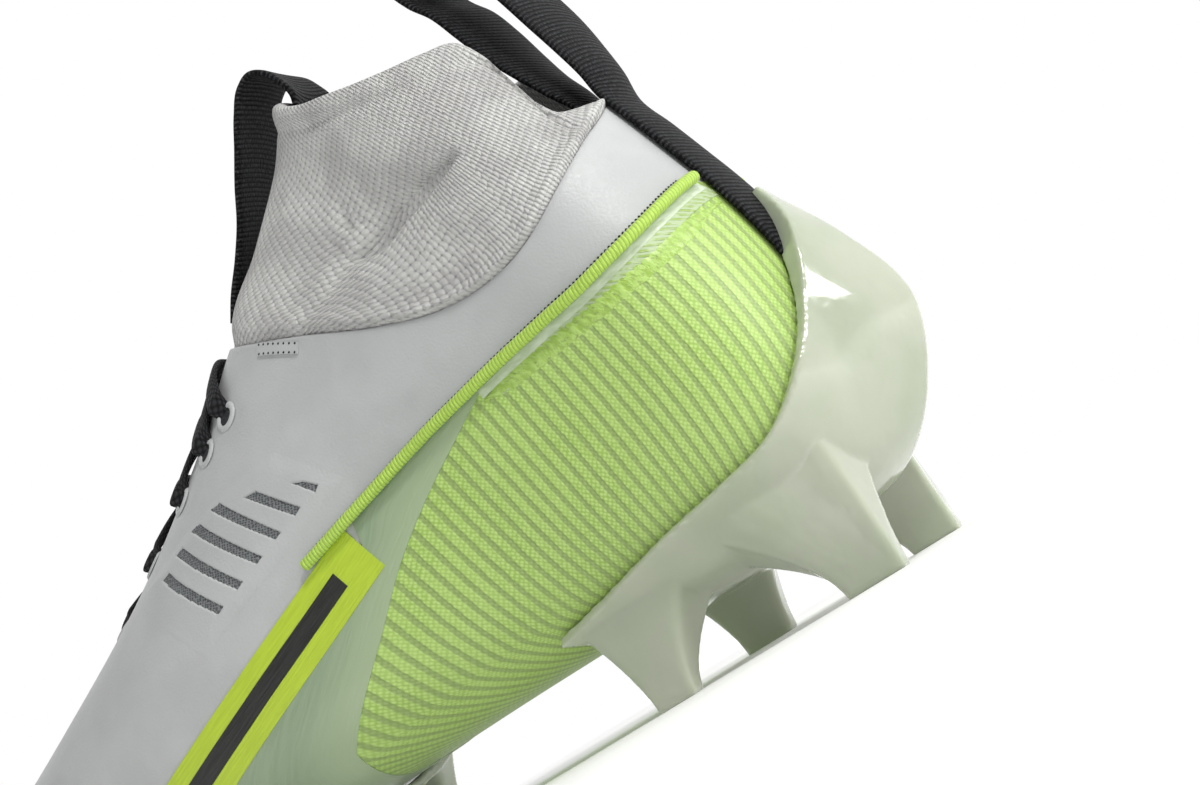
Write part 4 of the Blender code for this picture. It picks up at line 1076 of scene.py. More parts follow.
class CLEAT_OT_side_band(bpy.types.Operator):
    """Build the plain lime band and its dark stripe on the outer side"""

    bl_idname = "cleat.side_band"
    bl_label = "Side band"

    def execute(self, context):
        sizes, _ = settings()
        line = side_line(BAND_LINE, 120)
        half = sizes.band_width / MM / 2
        # name, first point, half width, height over the last, maker
        for name, start, reach, offset, maker in (
            ("side_band", 0, half, 0.46, plain_lime),
            ("side_band_stripe", 12, half * STRIPE_SHARE, 0.56, plain_black),
        ):
            edges = [rail([shifted(line, by)[start:]], BAND_COLUMNS, -1) for by in (reach, -reach)]
            places = ruled(*edges, STRIP_ROWS)
            band = lay_film(name, places, offset, edge=0.25, materials=[finish_of(maker)])
        return {"FINISHED"}


# The overlocked seam's middle on the side view, and its half width in millimetres
OVERLOCK_LINE = (
    (0.022, 0.441), (0.030, 0.431), (0.054, 0.408), (0.096, 0.391),
    (0.134, 0.385), (0.180, 0.381), (0.217, 0.376),
)
OVERLOCK_REACH = 1.9
# Distances below the piping's middle of the milky film's and the zigzag tape's edges
FILM_EDGE = (0.8, 2.7)
ZIGZAG_EDGE = (2.5, 4.9)


class CLEAT_OT_seam_strips(bpy.types.Operator):
    """Build the milky film edge, the zigzag tape and the overlocked seam under the piping"""

    bl_idname = "cleat.seam_strips"
    bl_label = "Seam strips"

    def execute(self, context):
        piping = side_line(PIPING_LINE, 160)
        overlock = side_line(OVERLOCK_LINE, 120)
        for side, end in SIDES:
            # name, distances below the piping, share of the length in front, height, maker
            for name, drops, reach, offset, maker in (
                ("film_edge", FILM_EDGE, 0.220, 0.36, clear_strip),
                ("zigzag_tape", ZIGZAG_EDGE, 0.205, 0.28, zigzag_tape),
            ):
                line = piping[piping[:, 0] > x_of(reach)]
                edges = [rail([shifted(line, -drop)], STRIP_COLUMNS, side) for drop in drops]
                places = ruled(*edges, STRIP_ROWS)
                piece = lay_film(f"{name}_{end}", places, offset, edge=0.2, materials=[finish_of(maker)])
            ends = np.minimum(run_of(overlock), run_of(overlock[::-1])[::-1])[:, None]
            reach = OVERLOCK_REACH * (0.15 + 0.85 * smooth_step(ends, 0.0, 7.0))
            edges = [rail([shifted(overlock, by)], OVERLOCK_COLUMNS, side) for by in (reach, -reach)]
            across, along = np.linspace(0, 1, OVERLOCK_ROWS)[:, None], np.arange(OVERLOCK_COLUMNS)[None]
            twist = 0.22 + 0.05 * np.sin(along * 0.9 + across * 3)
            swell = 0.16 + twist * np.sin(math.pi * across) ** 0.7
            places = ruled(*edges, OVERLOCK_ROWS)
            finishes = [finish_of(stitched_band)]
            piece = lay_film(f"overlock_{end}", places, swell, edge=0.12, materials=finishes)
        return {"FINISHED"}


# The stitched tab under the collar's front: its upper and lower edge on the side view
TAB_EDGES = (((0.334, 0.626), (0.371, 0.670)), ((0.338, 0.610), (0.374, 0.652)))
TAB_COLUMNS = 40
TAB_ROWS = 9
# The columns from one stitch hole to the next, and a hole's radius in millimetres
TAB_STITCH = 5
TAB_HOLE = 0.34


class CLEAT_OT_tabs(bpy.types.Operator):
    """Build the small stitched tab under the collar's front, on each side"""

    bl_idname = "cleat.tabs"
    bl_label = "Stitched tabs"

    def execute(self, context):
        for side, end in SIDES:
            edges = [rail([on_side(edge)], TAB_COLUMNS, side) for edge in TAB_EDGES]
            at, around = ruled(*edges, TAB_ROWS)
            finishes = [finish_of(film_over_cloth)]
            tab = lay_film(f"stitched_tab_{end}", (at, around), offset=0.5, edge=0.45, materials=finishes)
            rows, columns = (1, TAB_ROWS - 2), range(2, TAB_COLUMNS - 1, TAB_STITCH)
            row, column = np.array([(row, column) for row in rows for column in columns]).T
            places = at[row, column], around[row, column]
            # The stitch holes are dark dots of painted shade and dark thread
            hole_shade = beads(f"tab_hole_shade_{end}", places, 0.45, TAB_HOLE, finish_of(painted_shade_and_thread))
        return {"FINISHED"}


# The vents' corners on the side view, from the lower rear one, and the field's two long edges
VENTS = (
    ((0.363, 0.420), (0.368, 0.412), (0.383, 0.446), (0.373, 0.438)),
    ((0.383, 0.407), (0.390, 0.400), (0.425, 0.472), (0.413, 0.470)),
    ((0.405, 0.392), (0.412, 0.387), (0.459, 0.490), (0.448, 0.491)),
    ((0.426, 0.377), (0.433, 0.372), (0.484, 0.482), (0.473, 0.484)),
    ((0.448, 0.362), (0.455, 0.356), (0.506, 0.466), (0.496, 0.470)),
    ((0.470, 0.347), (0.477, 0.341), (0.526, 0.446), (0.516, 0.450)),
)
VENT_FIELD = (((0.338, 0.405), (0.500, 0.300)), ((0.385, 0.505), (0.570, 0.450)))
VENT_GRID = (170, 260)


def depth_inside(points, corners):
    """How far points of the side view lie inside a four-cornered outline, in millimetres."""
    outline = on_side(corners)
    turn = np.sign(np.cross(outline[1] - outline[0], outline[2] - outline[1]))
    inside = np.full(points.shape[:-1], 1e9)
    for k in range(len(outline)):
        start, way = outline[k], outline[(k + 1) % len(outline)] - outline[k]
        away = turn * (way[0] * (points[..., 1] - start[1]) - way[1] * (points[..., 0] - start[0]))
        inside = np.minimum(inside, away / np.linalg.norm(way))
    return inside


class CLEAT_OT_vents(bpy.types.Operator):
    """Build the vented film field on the outer side, with mesh in its slots"""

    bl_idname = "cleat.vents"
    bl_label = "Vents"

    def execute(self, context):
        sizes, _ = settings()
        edges = [rail([on_side(edge)], VENT_GRID[1], -1) for edge in VENT_FIELD]
        at, around = ruled(*edges, VENT_GRID[0])
        view = surface(at, around)[..., [0, 2]]
        inside = np.max([depth_inside(view, corners) for corners in VENTS], axis=0)
        rows, columns = np.linspace(0, 1, at.shape[0])[:, None], np.linspace(0, 1, at.shape[1])[None]
        rim = np.minimum(np.minimum(rows, 1 - rows) * 5, np.minimum(columns, 1 - columns) * 6)
        lift = 0.01 + 0.43 * smooth_step(rim, 0, 1)
        offset = lift - sizes.vent_depth / MM * smooth_step(inside, -0.12, 0.22) * (lift > 0.2)
        offset = np.maximum(offset, 0.03)
        middle = (inside[:-1, :-1] + inside[1:, :-1] + inside[:-1, 1:] + inside[1:, 1:]) / 4
        shades = (middle > 0.12).astype(int).ravel()
        finishes = [finish_of(film_over_cloth), finish_of(vent_mesh)]
        field = lay_film("vent_field", (at, around), offset, 0.05, finishes, None, shades)
        return {"FINISHED"}


# Collar

COLLAR_COLUMNS = 150
COLLAR_ROWS = 92
# How far the tongue lies under the last's surface
TONGUE_DEPTH = 2.5
# The sections that the tongue runs between, and how far it reaches round from the instep line
TONGUE_SPAN = (ROW["ball"] + 0.15, ROW["shank 1"] + 0.5)
TONGUE_REACH = 30.0
DIAGONAL_CREASE = (
    (0.147, 0.694), (0.163, 0.687), (0.186, 0.681), (0.209, 0.679), (0.234, 0.672), (0.262, 0.676),
)
# The knit's folds: a line on the side view, how deep it sinks (less than 0 where it bulges), how wide
FOLDS = (
    (DIAGONAL_CREASE, 4.6, 1.1),
    (DIAGONAL_CREASE, 2.4, 6.5),
    (((0.251, 0.752), (0.254, 0.732), (0.252, 0.712)), 1.4, 1.2),
    (((0.262, 0.735), (0.261, 0.712), (0.256, 0.694)), 0.6, 0.9),
    (((0.272, 0.728), (0.272, 0.706), (0.266, 0.688)), 0.6, 0.9),
    (((0.242, 0.742), (0.243, 0.722), (0.240, 0.704)), 0.6, 0.9),
    (((0.140, 0.640), (0.185, 0.628), (0.240, 0.632)), -1.9, 6.0),
    (((0.150, 0.745), (0.185, 0.735), (0.225, 0.735)), -0.9, 6.0),
)
MEDIAL_FOLDS = 0.6
RIM_RADIUS = 1.7
# The knit's edge under the film: how far below the seam, and how far out of the last
TUCK = ((10.0, -2.5), (6.0, -2.4), (3.0, -1.9), (1.2, -0.9))
LINING_DEPTH = 12.0
# The section from which the knit's rows are counted
KNIT_LEVEL = ROW["ankle 2"] - 0.2


def collar_folds(points, side):
    """How far the knit's folds press it in on one side."""
    return sum(crease(points, line, side, depth, width) for line, depth, width in FOLDS)


class CLEAT_OT_collar(bpy.types.Operator):
    """Build the knit collar with its rolled rim"""

    bl_idname = "cleat.collar"
    bl_label = "Knit collar"

    def execute(self, context):
        tries = np.linspace(0, 1, 401)
        halves = []
        for side in (-1, 1):
            low, high = first_crossing(side * tries, over_seam), first_crossing(side * tries, over_rim)
            start = tries[(high > low + 0.01).argmax()]
            share = np.linspace(0, 1, COLLAR_COLUMNS) ** 1.15
            halves.append(side * (start + (1 - start) * share))
        around = np.concatenate([halves[0], halves[1][-2::-1]])
        seam, rim = first_crossing(around, over_seam), first_crossing(around, over_rim)
        rim = np.maximum(rim, seam + 0.002)
        pace = pace_at(rim, around)

        below, out = np.array(TUCK).T[..., None]
        tuck = surface(seam - below / pace, around, out)
        share = np.linspace(0, 1, COLLAR_ROWS)[:, None]
        at = seam * (1 - share) + rim * share
        plain = surface(at, around)
        from_rim, from_seam = (rim - at) * pace, (at - seam) * pace
        # A soft roll and a shallow groove along the rim, then the same along the seam
        offset = 0.6 * bell(from_rim, 1.2, 2.0) - 0.4 * bell(from_rim, 4.6, 1.1)
        offset = offset + 1.1 * bell(from_seam, 2.0, 1.6) - 1.5 * bell(from_seam, 0.0, 0.7)
        offset = offset - collar_folds(plain, -1) - MEDIAL_FOLDS * collar_folds(plain, 1)
        outer = surface(at, around, offset)
        turn = np.linspace(0, math.pi, 10)[1:, None]
        roll_at = rim + RIM_RADIUS * np.sin(turn) / pace
        roll = surface(roll_at, around, RIM_RADIUS * np.cos(turn) - COLLAR_WALL / 2)
        inner = surface(np.linspace(rim, seam - LINING_DEPTH / pace, LINING_ROWS)[1:], around, -COLLAR_WALL)
        grid = np.concatenate([tuck, outer, roll, inner])
        uv = lay_uv(grid)
        level = np.argmin(np.abs(at - KNIT_LEVEL), axis=0) + len(tuck)
        uv[..., 1] -= uv[level, np.arange(len(around)), 1]
        uv[..., 1] -= np.where(KNIT_LEVEL < seam, KNIT_LEVEL - seam, np.maximum(KNIT_LEVEL - rim, 0)) * pace
        uv[..., 0] = (around * half_girth(KNIT_LEVEL, around))[None]
        normals = normals_at(at[COLLAR_ROWS // 2], around)[None, :-1]
        outward = np.repeat(normals, len(tuck) + COLLAR_ROWS - 2, 0).reshape(-1, 3)
        knit = [finish_of(knitted_polyester)]
        collar = new_piece("collar_knit", grid.reshape(-1, 3), quads(*grid.shape[:2]), knit, uv, outward)
        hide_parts("collar_tongue")

        arcs = np.linspace(-TONGUE_REACH, TONGUE_REACH, 60)
        tongue_at, arc = np.meshgrid(np.linspace(*TONGUE_SPAN, 90), arcs, indexing="ij")
        places = instep_place(np.where(arc == 0, 1e-6, arc), tongue_at)
        under = surface(tongue_at, places, -TONGUE_DEPTH)
        outward = normals_at(tongue_at, places)[:-1, :-1].reshape(-1, 3)
        faces = quads(*under.shape[:2])
        tongue = new_piece("tongue_knit", under.reshape(-1, 3), faces, knit, lay_uv(under), outward)
        return {"FINISHED"}


# Piping

PIPING_RADIUS = 1.2
PIPING_RINGS = 1000
PIPING_SIDES = 18
# The needle marks' distance above the piping's middle
NEEDLE_OFFSET = 1.9
NEEDLE_HOLE = 0.33
# Turns of thread that each millimetre round the cord leans by
WRAP_LEAN = 0.22


class CLEAT_OT_piping(bpy.types.Operator):
    """Build the thread-wound piping on each side and the painted shade of its row of needle holes"""

    bl_idname = "cleat.piping"
    bl_label = "Piping"

    def execute(self, context):
        sizes, _ = settings()
        line = side_line(PIPING_LINE, 240)
        for side, end in SIDES:
            places = rail([line], PIPING_RINGS, side).T
            centre, out = surface(*places, PIPING_RADIUS + 2 * GAP), normals_at(*places)
            across = unit(np.cross(np.gradient(centre, axis=0), out))
            run = run_of(centre)
            turn = np.linspace(-math.pi, math.pi, PIPING_SIDES, endpoint=False)[None]
            phase = run[:, None] * MM / sizes.thread_pitch + turn * WRAP_LEAN * PIPING_RADIUS
            ends = np.minimum(run, run[-1] - run)[:, None]
            cap = np.sqrt(np.clip(ends / 0.6, 0.02, 1))
            radius = PIPING_RADIUS * cap * (0.92 + 0.14 * np.abs(np.sin(np.pi * phase)) ** 0.6)
            ways = np.cos(turn)[..., None] * out[:, None] + np.sin(turn)[..., None] * across[:, None]
            rings = centre[:, None] + radius[..., None] * ways
            uv = np.stack(np.broadcast_arrays(run[:, None], turn * PIPING_RADIUS), -1)
            cord = new_piece(f"wound_piping_{end}", *tube(rings), [finish_of(wound_thread)], uv)
            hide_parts(f"piping_{end}")

            # The needle holes are dark dots of painted shade and dark thread
            count = int(run[-1] * MM / sizes.needle_pitch)
            dots = rail([shifted(line, NEEDLE_OFFSET)], count, side)[2:-2]
            needle_shade = beads(f"needle_hole_shade_{end}", dots.T, 0.08, NEEDLE_HOLE, finish_of(painted_shade_and_thread))
        return {"FINISHED"}


# Webbing loops

LOOP_COLUMNS = 5
STRAP_SIDES = 21
# The free rows of a loop: shares of the length and of the front height, bend, twist
HEEL_LOOP_FREE = (
    (0.0475, 0.722, -2.3, 0.7), (0.0525, 0.772, -1.9, 1.4), (0.0594, 0.826, -1.4, 2.0),
    (0.0696, 0.895, -0.9, 2.2), (0.0826, 0.972, -0.5, 2.3), (0.0982, 1.037, -0.3, 2.3),
    (0.1163, 1.072, -0.2, 2.3), (0.1333, 1.060, -0.2, 2.4), (0.1399, 1.019, -0.3, 2.5),
    (0.1319, 0.972, -0.5, 2.6), (0.1196, 0.934, -0.8, 2.6), (0.1098, 0.884, -1.1, 2.5),
    (0.0993, 0.824, -1.5, 2.0), (0.0884, 0.772, -1.9, 1.2), (0.0764, 0.722, -2.3, 0.5),
)
# Where the heel webbing lies on the heel: first section, last section, rows
HEEL_LOOP_OUTSIDE = (ROW["heel 2"] + 0.72, ROW["ankle 1"] + 0.9, 7)
HEEL_LOOP_INSIDE = (ROW["ankle 2"] + 0.02, ROW["ankle 1"], 4)
FRONT_LOOP_LINE = (
    (0.4190, 0.762, 1.4, 0.0), (0.4060, 0.795, 1.1, 0.0), (0.3840, 0.840, 0.7, 0.0),
    (0.3650, 0.884, 0.3, 0.0), (0.3490, 0.935, 0.2, 0.0), (0.3325, 0.983, 0.2, 0.0),
    (0.3175, 1.027, 0.2, 0.0), (0.3030, 1.058, 0.2, 0.0), (0.2900, 1.066, 0.2, 0.0),
    (0.2790, 1.052, 0.3, 0.0), (0.2725, 1.025, 0.8, 0.0), (0.2695, 0.995, 1.3, 0.0),
    (0.2760, 0.962, 1.6, 0.0), (0.2865, 0.926, 1.7, 0.0),
)


def free_row(along, up, bend, twist, width):
    """A row of a strap off the shoe, its edges bent by `bend` and turned by `twist`."""
    across = np.linspace(-1, 1, LOOP_COLUMNS)
    return [(x_of(along) + bend * c * c + twist * c, c * width / 2, z_of(up)) for c in across]


def heel_rows(span, offset):
    """Rows of the heel webbing where it lies on the heel, inside or out."""
    first, last, count = span
    reach = HEEL_WEBBING_WIDTH / 2
    at, arc = np.linspace(first, last, count)[:, None], np.linspace(-reach, reach, LOOP_COLUMNS)
    return surface(at, place_of(arc, at), offset).tolist()


def strap(name, middles, count, width, node):
    """A webbing strap with round edges between rows of mid-thickness points."""
    middles = np.asarray(middles, float)
    rows = middles.shape[0]
    smooth = curve(middles.reshape(rows, -1), count).reshape(count, LOOP_COLUMNS, 3)
    share = np.sin(np.linspace(-math.pi / 2, math.pi / 2, STRAP_SIDES))
    at = (share + 1) / 2 * (LOOP_COLUMNS - 1)
    wide = np.stack([spline(row, at) for row in smooth])
    along, across = np.gradient(wide, axis=0), np.gradient(wide, axis=1)
    normals = unit(np.cross(along, across))
    half = WEBBING_THICKNESS / 2 * np.sqrt(np.clip(1 - np.abs(share) ** 14, 0.03, 1))[None, :, None]
    front, back = wide + normals * half, wide - normals * half
    rings = np.concatenate([front, back[:, ::-1]], axis=1)
    run = run_of(smooth[:, LOOP_COLUMNS // 2])
    u = np.concatenate([share, share[::-1]]) * width / 2
    uv = np.stack(np.broadcast_arrays(u, run[:, None]), -1)
    piece = new_piece(name, *tube(rings), [finish_of(black_webbing)], uv, sharp=70)
    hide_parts(node)


class CLEAT_OT_loops(bpy.types.Operator):
    """Build the webbing pull loops at the heel and at the front of the collar"""

    bl_idname = "cleat.loops"
    bl_label = "Pull loops"

    def execute(self, context):
        rows = heel_rows(HEEL_LOOP_OUTSIDE, GAP + FACET_ALLOWANCE / 2 + WEBBING_THICKNESS / 2)
        rows += [free_row(*row, HEEL_WEBBING_WIDTH) for row in HEEL_LOOP_FREE]
        rows += heel_rows(HEEL_LOOP_INSIDE, -(COLLAR_WALL + GAP + FACET_ALLOWANCE + WEBBING_THICKNESS / 2))
        strap("heel_strap", rows, 420, HEEL_WEBBING_WIDTH, "heel_loop")
        rows = [free_row(*row, FRONT_WEBBING_WIDTH) for row in FRONT_LOOP_LINE]
        strap("front_strap", rows, 260, FRONT_WEBBING_WIDTH, "front_loop")
        return {"FINISHED"}


# Sole plates

# Section, reach round from the sole line on each side, share of the thickness, height of the keel
HEEL_PLATE = (
    ("shank 1", 27.0, 27.0, 1.0, 0.0),
    ("shank 2", 30.5, 30.5, 1.0, 0.0),
    ("heel seat", 35.2, 35.2, 1.0, 0.0),
    ("heel base", 37.0, 37.0, 1.0, 0.0),
    ("heel corner", 34.6, 34.6, 1.05, 1.3),
    ("heel 1", 28.4, 28.4, 1.1, 5.4),
    ("heel 2", 19.4, 19.4, 1.15, 9.7),
    ("heel 3", 10.6, 10.6, 1.15, 5.4),
    ("heel 4", 1.0, 1.0, 1.0, 0.3),
)
FOREFOOT_PLATE = (
    ("toe tip", 2.4, 2.4, 0.9, 0.0),
    ("toe end", 14.5, 14.5, 0.95, 0.0),
    ("toe 1", 26.0, 26.0, 1.0, 0.0),
    ("toe 2", 36.0, 36.0, 1.0, 0.0),
    ("toe 3", 44.0, 44.0, 1.0, 0.0),
    ("toe box", 50.0, 50.0, 1.0, 0.0),
    ("ball", 52.0, 52.0, 1.0, 0.0),
    ("waist", 47.0, 46.0, 1.0, 0.0),
    ("low instep", 40.0, 38.0, 0.9, 0.0),
)
KEEL_HALF_WIDTH = 17.0
KEEL_SHARPNESS = 1.25
# name, along, across, length, width, front, back, inward, outward, climb, turn
HEEL_STUDS = (
    ("heel rear lateral", 0.056, -0.258, 12.5, 4.8, 17.0, 6.0, 6.0, 6.5, 10.0, 0),
    ("heel rear medial", 0.056, 0.258, 11.5, 4.8, 12.0, 6.0, 6.0, 6.5, 10.0, 0),
    ("heel front lateral", 0.220, -0.262, 9.0, 5.0, 5.0, 11.0, 6.0, 5.0, 3.0, 0),
    ("heel front medial", 0.210, 0.258, 12.0, 5.0, 4.0, 6.0, 6.0, 5.0, 3.0, 0),
)
FOREFOOT_STUDS = (
    ("ball rear lateral", 0.560, -0.410, 10.5, 5.0, 4.0, 8.0, 5.0, 4.0, 4.0, 12),
    ("ball rear medial", 0.575, 0.350, 10.5, 5.0, 4.0, 8.0, 5.0, 4.0, 4.0, -12),
    ("ball lateral", 0.665, -0.415, 10.5, 5.0, 5.0, 6.0, 5.0, 4.0, 4.0, 5),
    ("ball medial", 0.690, 0.410, 10.5, 5.0, 5.0, 6.0, 5.0, 4.0, 4.0, -5),
    ("toe rear lateral", 0.775, -0.365, 10.0, 5.0, 5.0, 5.0, 5.0, 4.0, 4.0, -14),
    ("toe rear medial", 0.800, 0.400, 10.0, 5.0, 5.0, 5.0, 5.0, 4.0, 4.0, 12),
    ("toe lateral", 0.865, -0.215, 9.5, 5.0, 4.0, 5.0, 4.0, 3.0, 3.0, -40),
    ("toe medial", 0.895, 0.300, 9.5, 5.0, 4.0, 5.0, 4.0, 3.0, 3.0, 36),
    ("middle rear", 0.625, 0.000, 9.0, 4.5, 4.0, 4.0, 3.5, 3.5, 0.0, 0),
    ("middle front", 0.745, 0.020, 9.0, 4.5, 4.0, 4.0, 3.5, 3.5, 0.0, 0),
)
STUD_LEVELS = 26
STUD_SIDES = 44
STUD_SQUARENESS = 0.2
STUD_FLARE = 1.6
# How finely each moulding's overlapping shapes are joined
HEEL_VOXEL = 0.55
FOREFOOT_VOXEL = 0.8
INSOLE_VOXEL = 1.5


def plate_grids(table, ends, inner, rows, columns):
    """A plate's outer and inner grids between two ends, each a section number at the plate's edges
    and how many sections further its middle is bowed."""
    first_row = ROW[table[0][0]]
    across = np.linspace(-1, 1, columns)
    share = np.linspace(0, 1, rows)[:, None]
    first, last = (section + bow * (1 - across**2) ** 0.8 for section, bow in ends)
    at = first * (1 - share) + last * share
    flat = spline([row[1:] for row in table], (at - first_row).ravel()).reshape(*at.shape, -1)
    arc = np.where(across < 0, across * flat[..., 0], across * flat[..., 1])
    spread = np.clip(1 - np.abs(arc) / KEEL_HALF_WIDTH, 0, 1)
    thickness = PLATE_THICKNESS * flat[..., 2] + flat[..., 3] * spread**KEEL_SHARPNESS
    around = place_of(arc, at)
    return surface(at, around, inner + thickness), surface(at, around, inner)


def sheet_shape(outer, inner):
    """Vertices and faces of a closed sheet between two grids."""
    rows, columns = outer.shape[:2]
    count = rows * columns
    faces = quads(rows, columns)
    faces += [[v + count for v in q[::-1]] for q in faces]
    border = border_of(rows, columns)
    faces += [[b, a, a + count, b + count] for a, b in zip(border, border[1:] + border[:1])]
    return np.concatenate([outer.reshape(-1, 3), inner.reshape(-1, 3)]), faces


def under_foot(x, y, climb, offset):
    """The point of the last nearest this place on the plan, pushed out by offset."""
    point, normal, _, _ = LAST_TREE.find_nearest(Vector((x, y, LIFT + 2 + climb)))
    centre = Vector((point.x, 0, LIFT + FRONT_HEIGHT / 4))
    normal = normal if normal.dot(point - centre) > 0 else -normal
    return np.array(point + normal * offset)


def stud_shape(row):
    """Vertices and faces of a stud: a blade with a flat tip, flaring up into the plate."""
    _, along, across, length, width, front, back, inward, outward, climb, turn = row
    depth = GAP + FACET_ALLOWANCE + 0.6 * PLATE_THICKNESS
    spin = math.radians(turn)
    turned = np.array([(math.cos(spin), -math.sin(spin)), (math.sin(spin), math.cos(spin))])
    middle = np.array((x_of(along), across * BALL_WIDTH))
    outer_side = -1 if across < 0 else 1
    tips, roots = [], []
    for j in range(STUD_SIDES):
        angle = 2 * math.pi * (j + 0.5) / STUD_SIDES
        u, v = rounded(math.cos(angle), STUD_SQUARENESS), rounded(math.sin(angle), STUD_SQUARENESS)
        beyond = v * outer_side
        lengthen, widen = (back if u > 0 else front), (outward if beyond > 0 else inward)
        tip = middle + turned @ (u * length / 2, v * width / 2)
        root = middle + turned @ (u * (length / 2 + lengthen), v * (width / 2 + widen))
        tips.append((*tip, 0.0))
        roots.append(under_foot(*root, climb * max(0.0, beyond), depth))
    tips, roots = np.array(tips), np.array(roots)
    share = np.linspace(0, 1, STUD_LEVELS)[:, None, None]
    flare = np.concatenate([share**STUD_FLARE, share**STUD_FLARE, share], axis=2)
    rings = tips * (1 - flare) + roots * flare
    return tube(rings)


def remeshed(piece, voxel, rounds, maker):
    """Joins a piece's overlapping shapes, softens its edges and gives it a finish."""
    join = piece.modifiers.new("join", "REMESH")
    join.mode = "VOXEL"
    join.voxel_size = voxel * MM
    soften = piece.modifiers.new("soften", "SMOOTH")
    soften.factor = 0.5
    soften.iterations = rounds
    shape = bpy.data.meshes.new_from_object(piece.evaluated_get(bpy.context.evaluated_depsgraph_get()))
    piece.modifiers.clear()
    piece.data = shape
    shape.materials.clear()
    shape.materials.append(finish_of(maker))
    shape.shade_smooth()


def moulded(name, shapes, voxel, node):
    """One moulded body from overlapping closed shapes."""
    piece = new_piece(name, *joined(shapes), [])
    remeshed(piece, voxel, 2, moulded_plastic)
    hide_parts(node)


class CLEAT_OT_plates(bpy.types.Operator):
    """Build the two moulded sole plates with their studs"""

    bl_idname = "cleat.plates"
    bl_label = "Sole plates"

    def execute(self, context):
        ends = ((ROW["shank 1"] + 0.5, 0.55), (ROW["heel 4"], 0.0))
        grids = plate_grids(HEEL_PLATE, ends, GAP + FACET_ALLOWANCE, 90, 70)
        shapes = [sheet_shape(*grids)] + [stud_shape(row) for row in HEEL_STUDS]
        moulded("heel_plate_moulding", shapes, HEEL_VOXEL, "heel_plate")
        ends = ((0.02, 0.0), (ROW["waist"] + 0.75, -0.45))
        grids = plate_grids(FOREFOOT_PLATE, ends, GAP + 2 * FACET_ALLOWANCE, 120, 100)
        shapes = [sheet_shape(*grids)] + [stud_shape(row) for row in FOREFOOT_STUDS]
        moulded("forefoot_plate_moulding", shapes, FOREFOOT_VOXEL, "forefoot_plate")
        return {"FINISHED"}


# Insole


class CLEAT_OT_insole(bpy.types.Operator):
    """Build the cloth-covered foam insole with its rounded edge"""

    bl_idname = "cleat.insole"
    bl_label = "Insole"

    def execute(self, context):
        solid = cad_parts["insole"].data
        corners = np.array([v.co for v in solid.vertices]) / MM
        insole = new_piece("insole_cloth", corners, [list(f.vertices) for f in solid.polygons], [])
        remeshed(insole, INSOLE_VOXEL, 6, sockliner_cloth)
        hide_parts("insole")
        return {"FINISHED"}


# Lace and eyelets

EYELET_PAIRS = 5
EYELET_SECTIONS = (ROW["waist"] - 0.35, ROW["instep"] - 0.05)
EYELET_ARCS = (17.0, 28.0)
EYELET_SIDES = 28
EYELET_HOLE = 1.97
LACE_WIDTH = 5.5
LACE_THICKNESS = 1.5
LACE_ROUNDNESS = 0.7
LACE_RINGS = 90
LACE_SIDES = 22
# Where a run dips into its eyelets, as a height over the last, and how high the rest lies
LACE_DIP = -1.2
LACE_RISE = 1.25
# An eyelet ring's section: radius and height over the film
EYELET_PROFILE = ((1.95, 0.05), (2.0, 0.3), (2.25, 0.5), (2.8, 0.52), (3.2, 0.3), (3.4, 0.02))


def eyelet_place(pair, side):
    """An eyelet's section number and its distance from the instep line."""
    share = pair / (EYELET_PAIRS - 1)
    return np.interp(share, (0, 1), EYELET_SECTIONS), side * np.interp(share, (0, 1), EYELET_ARCS)


def lace_run(start, end, lift, crown):
    """Rings and coordinates of a lace run over the instep between two eyelets."""
    (at0, arc0), (at1, arc1) = eyelet_place(*start), eyelet_place(*end)
    share = np.linspace(0, 1, LACE_RINGS)
    at, arc = at0 + (at1 - at0) * share, arc0 + (arc1 - arc0) * share
    around = instep_place(np.where(np.abs(arc) < 1e-6, 1e-6, arc), at)
    dip = smooth_step(np.minimum(share, 1 - share), 0.0, 0.09)
    rise = LACE_DIP + (LACE_RISE - LACE_DIP + lift) * dip + crown * bell(share, 0.5, 0.12)
    middle = surface(at, around, rise)
    along = unit(np.gradient(middle, axis=0))
    across = unit(np.cross(along, normals_at(at, around)))
    out = np.cross(across, along)
    turn = np.linspace(0, 2 * math.pi, LACE_SIDES, endpoint=False)
    wide = rounded(np.cos(turn), LACE_ROUNDNESS)[:, None] * LACE_WIDTH / 2
    thick = rounded(np.sin(turn), LACE_ROUNDNESS)[:, None] * LACE_THICKNESS / 2
    narrow = (0.62 + 0.38 * dip)[:, None, None]
    rings = middle[:, None] + across[:, None] * wide * narrow + out[:, None] * thick
    run = run_of(middle)
    return rings, np.stack(np.broadcast_arrays(turn * 1.9, run[:, None]), -1)


